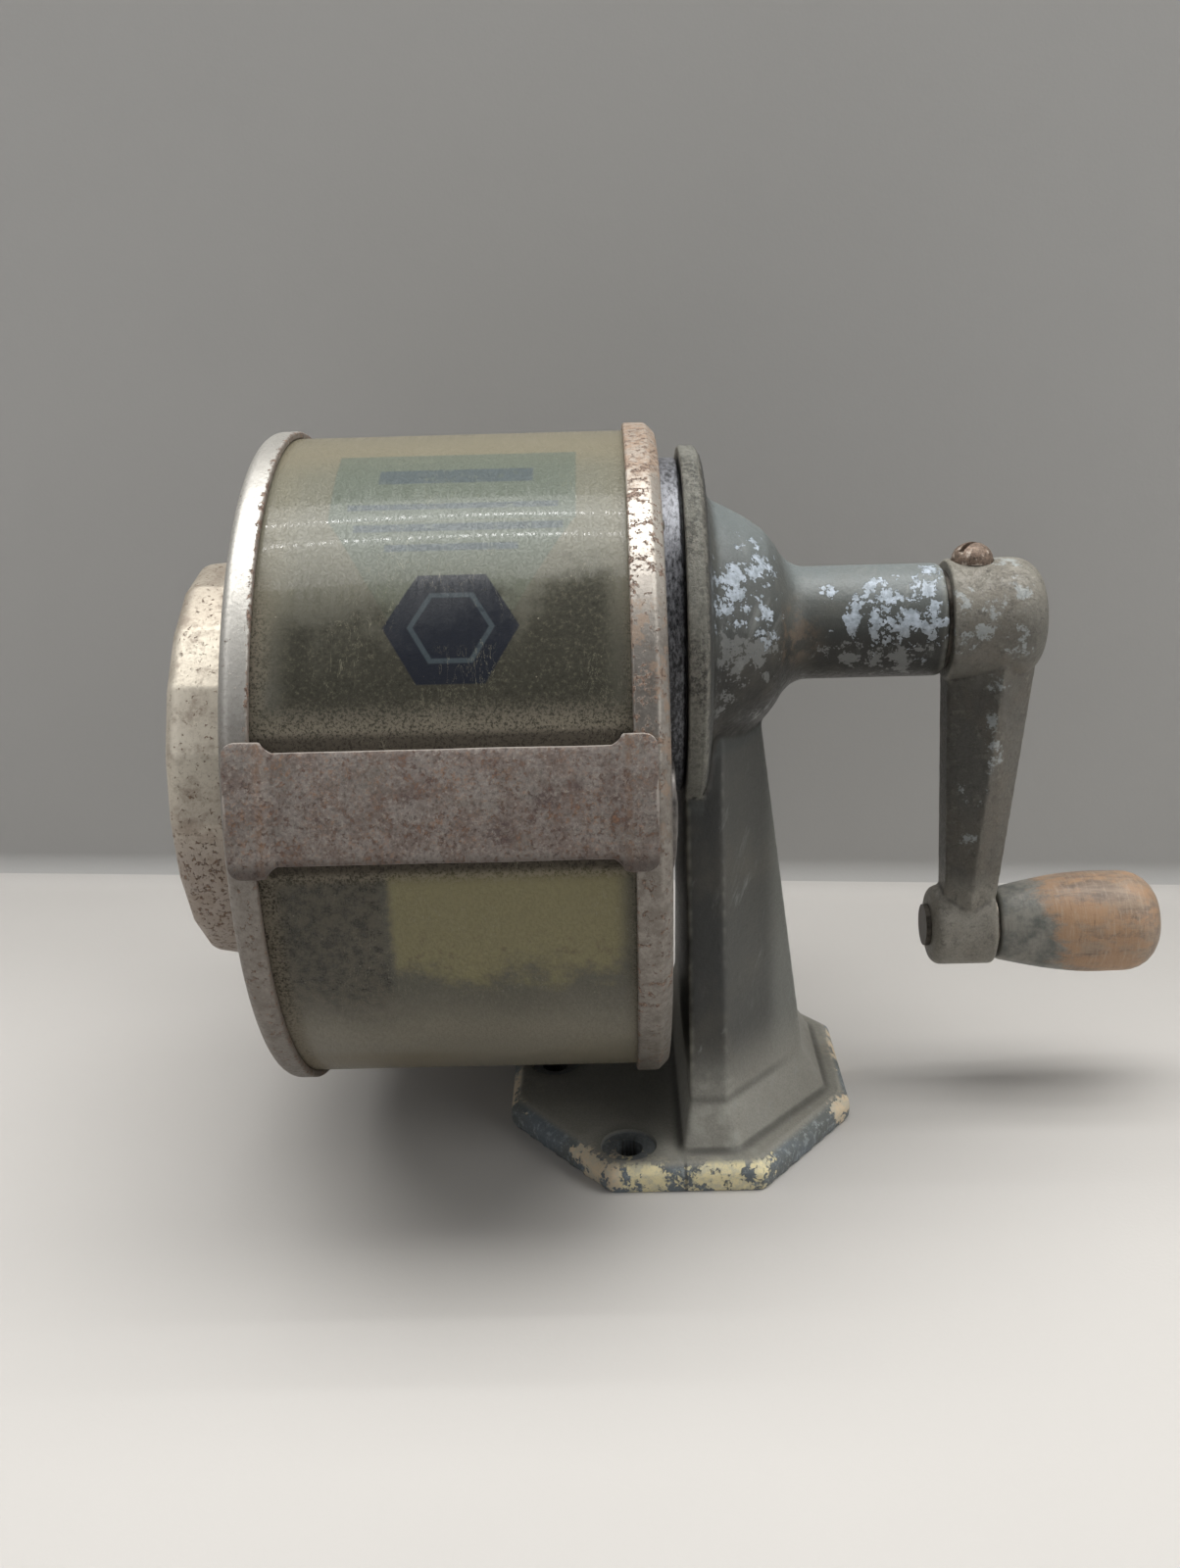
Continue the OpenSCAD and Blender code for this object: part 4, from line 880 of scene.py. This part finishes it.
place(frontCap(), frontNickel(), "receptacle", "cap_nickel", "front_cap")
place(rearCap(), rearNickel(), "receptacle", "cap_rusty", "rear_cap")
place(drumShell(), drumCelluloid(), "receptacle", "celluloid", "drum")
strapFinish = strapSteel()
place(strap("strapNear", 1), strapFinish, "receptacle", "strap_steel", "strap_near")
place(strap("strapFar", -1), strapFinish, "receptacle", "strap_steel", "strap_far")
place(mountCollar(), bluedSteel(), "receptacle", "collar_steel", "mount_collar")
latchFinish = wornMetal("latch steel", (104, 100, 98), (146, 142, 138), 0.5)
place(latchSpring(), latchFinish, "receptacle", "spring_steel", "latch_spring")

# The dial: a faceted cup with six holes.
dialCup = dict(flats=20, radius=28.4, corner=2.4, turn=1.2, edge=0.4, sheet=1.0, floor=1.2, ring=18,
               smallest=3.5, grow=0.35, first=2, rivet=2.45)


def sizeDial():
    d = dialCup
    x0, x1 = [corner.x for corner in reach("dial")]
    corners = [math.tau * i / d["flats"] + math.radians(d["turn"]) for i in range(d["flats"])]
    profile = [(x0 + d["corner"] * (1 - math.sin(a)), d["radius"] - d["corner"] * (1 - math.cos(a)))
               for a in np.radians([90, 66, 44, 22, 0])]
    sections = [[(x, radius * math.sin(a), drumZ + radius * math.cos(a)) for a in corners]
                for x, radius in profile + [(x1, d["radius"])]]
    dial = softEdges(makePiece("sizeDial", loft(sections)), d["edge"], 3, 14)
    inner = (d["radius"] - d["sheet"]) * math.cos(math.pi / d["flats"])
    cuts = [rod(x0 + d["floor"], x1 + 1, inner, drumZ, 144), rod(x0 - 1, x0 + 2, d["rivet"], drumZ, 48)]
    for i in range(6):
        turn = -math.tau * (i - d["first"]) / 6
        cuts.append(rod(x0 - 1, x0 + 2, d["smallest"] + i * d["grow"], drumZ + d["ring"] * math.cos(turn), 72,
                        d["ring"] * math.sin(turn)))
    return settle(combine(dial, "DIFFERENCE", *cuts), 30)


place(sizeDial(), dialNickel(), "dial", "dial_nickel", "dial")

# The crank: hub, tapering arm and boss in one casting, with its screw and wooden knob.
crank = dict(hubR=8.45, crown=5, bossR=6.0, bossLen=9.4, bossX=38.15, screwX=41.65, flat=0.35, grain=0.28,
             soften=5, shaftR=3.99, shaftGap=4.8, studR=2.22, screwR=1.52, flatR=3.0)


def crankArm():
    c = crank
    bossX, bossEnd, seat = c["bossX"], c["bossX"] + c["bossLen"], shaftZ + c["hubR"] - c["flat"]
    hub = rounded([(hubX, 0), (hubX, c["hubR"], 0.4), (hubEnd, c["hubR"], c["crown"]), (hubEnd, 0)], False, 8)
    arm = loft([level(mirrored([(40.15, 2.6), (43.15, 4.6), (47.15, 2.6)]), knobZ + 1),
                level(mirrored([(38.35, 2.6), (45.65, 7.0), (51.15, 2.6)]), shaftZ - 3)])
    boss = rounded([(bossX, 0), (bossX, c["bossR"], 1.6), (bossEnd, c["bossR"], 0.6), (bossEnd, 0)], False)
    casting = makePiece("crankArm", lathe(hub, shaftZ, 160), arm, lathe(boss, knobZ, 120))
    castTogether(casting, c["grain"], c["soften"])
    hole = [(c["screwR"], shaftZ), (c["screwR"], seat), (c["flatR"], seat + 0.01),
            (c["flatR"], shaftZ + c["hubR"] + 1)]
    combine(casting, "DIFFERENCE", rod(hubX - 1, hubEnd - c["shaftGap"], c["shaftR"], shaftZ, 96),
            rod(bossX - 1, bossEnd + 1, c["studR"], knobZ, 64), upright(hole, c["screwX"], 0))
    markEdges(casting, 0.9, 2)
    return settle(casting, 50)


screwHead = dict(radius=2.85, shankR=1.5, head=2.7, side=0.35, slot=0.8, deep=1.1, turn=35)


def hubScrew():
    s = screwHead
    low, high = reach("hub_screw")
    base = high.z - s["head"]
    side = base + s["side"]
    outline = [(0, low.z), (s["shankR"], low.z), (s["shankR"], base), (s["radius"], base), (s["radius"], side)]
    outline += [(s["radius"] * math.cos(a), side + (s["head"] - s["side"]) * math.sin(a))
                for a in np.radians([15, 30, 45, 60, 72, 82])]
    half = s["slot"] / 2
    slot = [(-4, -half), (4, -half), (4, half), (-4, half)]
    blade = loft([level(slot, z) for z in (high.z - s["deep"], high.z + 1)])
    turned = Matrix.Rotation(math.radians(s["turn"]), 3, "Z")
    bmesh.ops.rotate(blade, verts=blade.verts, cent=(0, 0, 0), matrix=turned)
    bmesh.ops.translate(blade, verts=blade.verts, vec=(crank["screwX"], 0, 0))
    screw = makePiece("hubScrew", upright(outline + [(0, high.z)], crank["screwX"], 0, 64))
    combine(screw, "DIFFERENCE", blade)
    markEdges(screw, 0.5, 0)
    return settle(screw, 40)


knobShape = dict(neckR=5.5, fullR=7.6, round=5.2, full=0.62, bore=2.25, recess=3.4, recessR=4.0, wear=0.05,
                 wearSize=4)


def woodKnob():
    k = knobShape
    start, end = [corner.x for corner in reach("knob")]
    length = (end - start) * k["full"] - 0.5
    crown = k["fullR"] - k["round"]
    neck = k["neckR"]
    outline = [(start, k["bore"]), (start, neck - 0.5), (start + 0.15, neck - 0.15), (start + 0.5, neck)]
    outline += [(start + 0.5 + length * t, neck + (k["fullR"] - neck) * math.sin(t * math.pi / 2))
                for t in np.linspace(0.1, 1, 10)]
    outline += [(end - k["round"], k["fullR"] - 0.06)]
    tip = [(end - k["round"] + k["round"] * math.sin(a), crown + (k["round"] - 0.06) * math.cos(a))
           for a in np.radians([12, 25, 38, 51, 64, 77, 90])]
    outline += [(x, radius) for x, radius in tip if radius > k["recessR"] + 0.25]
    outline += [(end - 0.35, k["recessR"] + 0.1), (end - 0.6, k["recessR"]), (end - k["recess"], k["recessR"]),
                (end - k["recess"], k["bore"])]
    knob = makePiece("woodKnob", lathe(outline, knobZ, 128))
    for vertex in knob.data.vertices:  # slight unevenness, always inwards
        amount = 0.5 + 0.5 * ripple.noise(vertex.co / k["wearSize"])
        vertex.co -= vertex.normal * k["wear"] * min(max(amount, 0), 1)
    knob.data.update()
    return settle(knob, 45)


place(crankArm(), crankEnamel(), "crank", "crank_enamel", "crank_arm")
place(hubScrew(), rustedScrew(), "crank", "screw_rusty", "hub_screw")
place(woodKnob(), knobWood(), "knob", "knob_wood", "knob")


# Recipes for what repeats: blades round a cutter, rivets round the collar, pips round the dial.
class Recipe(Network):
    def __init__(self, name, **inputs):
        super().__init__(bpy.data.node_groups.new(name, "GeometryNodeTree"))
        self.sockets = {}
        for label, kind in inputs.items():
            made = self.tree.interface.new_socket(label, in_out="INPUT", socket_type="NodeSocket" + kind)
            self.sockets[label] = made.identifier
        self.tree.interface.new_socket("Mesh", in_out="OUTPUT", socket_type="NodeSocketGeometry")

    def serve(self, *shapes):  # the joined shapes in the given material
        joined = self.tree.nodes.new("GeometryNodeJoinGeometry")
        for shape in shapes:
            self.tree.links.new(self.wire(shape), joined.inputs[0])
        loose = self.tree.nodes.new("GeometryNodeRealizeInstances")
        self.tree.links.new(joined.outputs[0], loose.inputs[0])
        coated = self.tree.nodes.new("GeometryNodeSetMaterial")
        self.tree.links.new(loose.outputs[0], coated.inputs["Geometry"])
        self.feed(coated.inputs["Material"], given("Material"))
        self.tree.links.new(coated.outputs[0], self.tree.nodes.new("NodeGroupOutput").inputs[0])
        return self

    def grow(self, name, turned, **sizes):  # runs the recipe and lays its mesh in place
        piece = bpy.data.objects.new(name, bpy.data.meshes.new(name))
        scene.collection.objects.link(piece)
        recipe = change(piece, "NODES", node_group=self.tree)
        for label, value in sizes.items():
            recipe[self.sockets[label]] = value
        bake(piece)
        piece.data.transform(turned)
        return piece


def given(label):  # a size that the recipe is run with
    return Field("NodeGroupInput", {}, label)


def geometry(kind, mode=None, **inputs):
    inputs = {label.replace("_", " "): value for label, value in inputs.items()}
    return Field("GeometryNode" + kind, inputs, **({"mode": mode} if mode else {}))


def vector(x=0.0, y=0.0, z=0.0):
    return Field("ShaderNodeCombineXYZ", {"X": x, "Y": y, "Z": z})


def spiralBlades():
    recipe = Recipe("spiral blades", Blades="Int", Radius="Float", Root="Float", Bore="Float", Length="Float",
                    Twist="Float", Material="Material")
    radius, root, bore, length = given("Radius"), given("Root"), given("Bore"), given("Length")
    deep = radius - root + 0.3
    middle = radius - deep * 0.5
    path = geometry("CurveSpiral", Resolution=40, Rotations=given("Twist") / 360.0, Start_Radius=middle,
                    End_Radius=middle, Height=length, Reverse=True)
    path = geometry("SetCurveNormal", "Z_UP", Curve=path)
    tooth = geometry("CurvePrimitiveQuadrilateral", "TRAPEZOID", Height=deep, Bottom_Width=2.1,
                     Top_Width=0.55, Offset=0.3)
    tooth = geometry("Transform", Geometry=tooth, Rotation=(0, 0, -math.pi / 2))
    blade = geometry("CurveToMesh", Curve=path, Profile_Curve=tooth, Fill_Caps=True)
    spots = geometry("MeshLine", Count=given("Blades"), Offset=(0, 0, 0))
    turn = geometry("InputIndex") * (math.tau / given("Blades"))
    blades = geometry("InstanceOnPoints", Points=spots, Instance=blade, Rotation=vector(z=turn))
    hoop = geometry("CurvePrimitiveCircle", Resolution=64, Radius=(root + bore) * 0.5)
    wall = geometry("CurvePrimitiveQuadrilateral", Width=root - bore, Height=length)
    core = geometry("CurveToMesh", Curve=hoop, Profile_Curve=wall)
    core = geometry("Transform", Geometry=core, Translation=vector(z=length * 0.5))
    return recipe.serve(blades, core)


def roundHeads():  # low heads at a spacing round a circle
    recipe = Recipe("round heads", Count="Int", Ring="Float", First="Float", Spread="Float", Head="Float",
                    Height="Float", Material="Material")
    head = geometry("MeshUVSphere", Segments=20, Rings=10, Radius=given("Head"))
    head = geometry("Transform", Geometry=head, Scale=vector(1.0, 1.0, given("Height") / given("Head")))
    turn = given("First") + geometry("InputIndex") * given("Spread")
    position = vector(given("Ring") * maths("COSINE", turn), given("Ring") * maths("SINE", turn))
    spots = geometry("MeshLine", Count=given("Count"), Offset=(0, 0, 0))
    spots = geometry("SetPosition", Geometry=spots, Position=position)
    return recipe.serve(geometry("InstanceOnPoints", Points=spots, Instance=head))


cutters = dict(pinionX=3.55, offset=6.4, tilt=9.5, start=4.0, length=31.0, radius=6.95, root=5.65, blades=12,
               twist=150.0, bore=1.65)
cutterFinish = wornMetal("cutter steel", (120, 122, 124), (182, 184, 186), 0.3)
bladeRecipe = spiralBlades()
for k, label in enumerate("AB"):
    c = cutters
    seat = Matrix.Translation((c["pinionX"], 0, shaftZ)) @ Matrix.Rotation(math.pi * k, 4, "X")
    seat = seat @ Matrix.Translation((0, 0, c["offset"]))
    seat = seat @ Matrix.Rotation(math.radians(90 + c["tilt"]), 4, "Y")
    seat = seat @ Matrix.Translation((0, 0, -c["start"] - c["length"]))
    piece = bladeRecipe.grow("cutterBlades" + label, seat, Blades=c["blades"], Radius=c["radius"],
                             Root=c["root"], Bore=c["bore"], Length=c["length"], Twist=c["twist"],
                             Material=cutterFinish)
    name = "cutter_" + label.lower()
    place(settle(piece, 35), cutterFinish, name, "cutter_steel", name)

rivets = dict(count=4, ring=24.45, head=1.0, height=0.5)
rivetFinish = wornMetal("rivet steel", (120, 112, 100), (186, 178, 164), 0.4, 0.5)
alongX = Matrix(((0, 0, 1), (0, 1, 0), (-1, 0, 0))).to_4x4()
headRecipe = roundHeads()
piece = headRecipe.grow("collarRivets", Matrix.Translation((rearFace, 0, shaftZ)) @ alongX,
                        Count=rivets["count"], Ring=rivets["ring"], First=math.pi / 4,
                        Spread=math.pi / 2, Head=rivets["head"], Height=rivets["height"], Material=rivetFinish)
place(settle(piece), rivetFinish, "receptacle", "fastener_steel", "collar_rivets")

pips = dict(ring=10.8, head=0.55, height=0.25, spread=0.165)
pipFinish = wornMetal("pip nickel", (120, 112, 100), (176, 168, 152), 0.4, 0.5)
pipSeat = Matrix.Translation((reach("dial")[0].x, 0, drumZ)) @ alongX
whole = bmesh.new()
for i in range(6):
    first = math.pi - math.tau * (i - dialCup["first"]) / 6 - pips["spread"] * i / 2
    group = headRecipe.grow("dialPips", pipSeat, Count=i + 1, Ring=pips["ring"], First=first,
                            Spread=pips["spread"], Head=pips["head"], Height=pips["height"],
                            Material=pipFinish)
    whole.from_mesh(group.data)
    bpy.data.objects.remove(group)
place(settle(makePiece("dialPips", whole)), pipFinish, "dial", "dial_nickel")

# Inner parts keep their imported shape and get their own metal.
innerFinishes = (
    (wornMetal("gear steel", (104, 102, 98), (160, 156, 148)), ("ring_gear", "pinion_a", "pinion_b")),
    (wornMetal("bush bronze", (120, 88, 46), (176, 136, 78), 0.36), ("front_bush", "rear_bush")),
    (wornMetal("carrier metal", (108, 106, 100), (158, 154, 146), 0.42, 0.4),
     ("cutter_carrier", "pencil_guide")),
    (wornMetal("spring steel", (150, 142, 128), (206, 198, 184), 0.3), ("detent_spring",)),
    (wornMetal("fastener steel", (116, 108, 98), (178, 170, 158), 0.4, 0.6),
     ("latch_rivet", "dial_rivet", "dial_spacer", "dial_washer", "arbor_pins", "spindle", "knob_washer")),
    (wornMetal("darkened steel", (58, 55, 50), (96, 91, 84), 0.5, 0.5), ("thrust_washer", "knob_stud")))
for metal, names in innerFinishes:
    for name in names:
        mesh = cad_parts[name].data
        mesh.materials.clear()
        mesh.materials.append(metal)
print("inner parts finished")

# Floor, backdrop, lamps and camera.
studio = dict(floor=(188, 185, 181), back=(168, 167, 165), far=(159, 156, 153), bend=77.5, slant=-0.084,
              curve=6, high=250, wide=2600, world=0.2)


def paper(name, colour, roughness):
    finish = Finish(name, roughness)
    finish.colour = mix(noise(90, 4, 0.6), [value - 3 for value in colour], [value + 3 for value in colour])
    # Clear from behind, so that it never stands before the object.
    finish.give("Alpha", 1.0 - Field("ShaderNodeNewGeometry", {}, "Backfacing"))
    return finish.done((noise(0.6, 3), 0.02))


def sheetOf(name, profile, material):
    shape = bmesh.new()
    rows = [[shape.verts.new((x, y + studio["slant"] * x, z)) for x in (-studio["wide"], studio["wide"])]
            for y, z in profile]
    for near, far in zip(rows, rows[1:]):
        shape.faces.new((near[0], near[1], far[1], far[0]))
    sheet = settle(makePiece(name, shape))
    sheet.data.materials.append(material)
    return sheet


def coving(start, end):  # part of the bend between floor and wall, in degrees
    curve = studio["curve"]
    return [(studio["bend"] - curve + curve * math.sin(a), curve - curve * math.cos(a))
            for a in np.radians(np.arange(start, end, 5))]


groundStart = studio["bend"] - studio["curve"]
floor = sheetOf("floor", [(-studio["wide"], 0)] + coving(0, 46), paper("floor paper", studio["floor"], 0.75))
backdrop = sheetOf("backdrop", coving(45, 91) + [(studio["bend"], studio["high"])],
                   paper("backdrop paper", studio["back"], 0.85))
farFloor = sheetOf("farFloor", [(groundStart, -0.1), (studio["wide"], -0.1)],  # ground behind the backdrop
                   paper("far floor paper", studio["far"], 0.75))

world = scene.world or bpy.data.worlds.new("studio")
scene.world = world
world.use_nodes = True
world.node_tree.nodes["Background"].inputs["Color"].default_value = tone((236, 238, 242))
world.node_tree.nodes["Background"].inputs["Strength"].default_value = studio["world"]

lampList = (
    ("ceiling", (-20, 60, 650), (-20, 60, 0), 1500, 400, 8.5, (1, 0.99, 0.97)),
    ("stripNear", (0, 54, 690), (0, 54, 0), 760, 9, 0.65, (1, 1, 1)),
    ("stripFar", (0, 165, 690), (0, 165, 0), 760, 9, 0.65, (1, 1, 1)),
    ("fillLeft", (-520, -420, 330), (0, 0, 50), 420, 420, 0.55, (0.97, 0.98, 1)),
    ("fillRight", (560, -260, 260), (0, 0, 50), 360, 360, 1.1, (1, 1, 0.98)))
for name, start, aim, wide, deep, power, tint in lampList:
    lamp = bpy.data.lights.new(name, "AREA")
    lamp.shape = "RECTANGLE"
    lamp.size, lamp.size_y = wide * mm, deep * mm
    lamp.energy, lamp.color = power, tint
    holder = bpy.data.objects.new(name, lamp)
    holder.location = Vector(start) * mm
    holder.rotation_euler = (Vector(aim) - Vector(start)).to_track_quat("-Z", "Y").to_euler()
    scene.collection.objects.link(holder)

shot = dict(place=(-9.57, -211.05, 126.11), yaw=0.0131, pitch=0.3457, roll=0.0286, lens=35.16)
camera = bpy.data.objects.new("camera", bpy.data.cameras.new("camera"))
camera.data.lens = shot["lens"]
camera.data.sensor_width = 36
camera.data.clip_start = 0.01
turned = Matrix.Rotation(shot["yaw"], 4, "Z") @ Matrix.Rotation(-shot["pitch"], 4, "X")
turned = turned @ Matrix.Rotation(shot["roll"], 4, "Y") @ Matrix.Rotation(math.pi / 2, 4, "X")
camera.matrix_world = Matrix.Translation(Vector(shot["place"]) * mm) @ turned
scene.collection.objects.link(camera)
scene.camera = camera
scene.view_settings.view_transform = "Standard"
print("stage set")

bpy.context.view_layer.update()
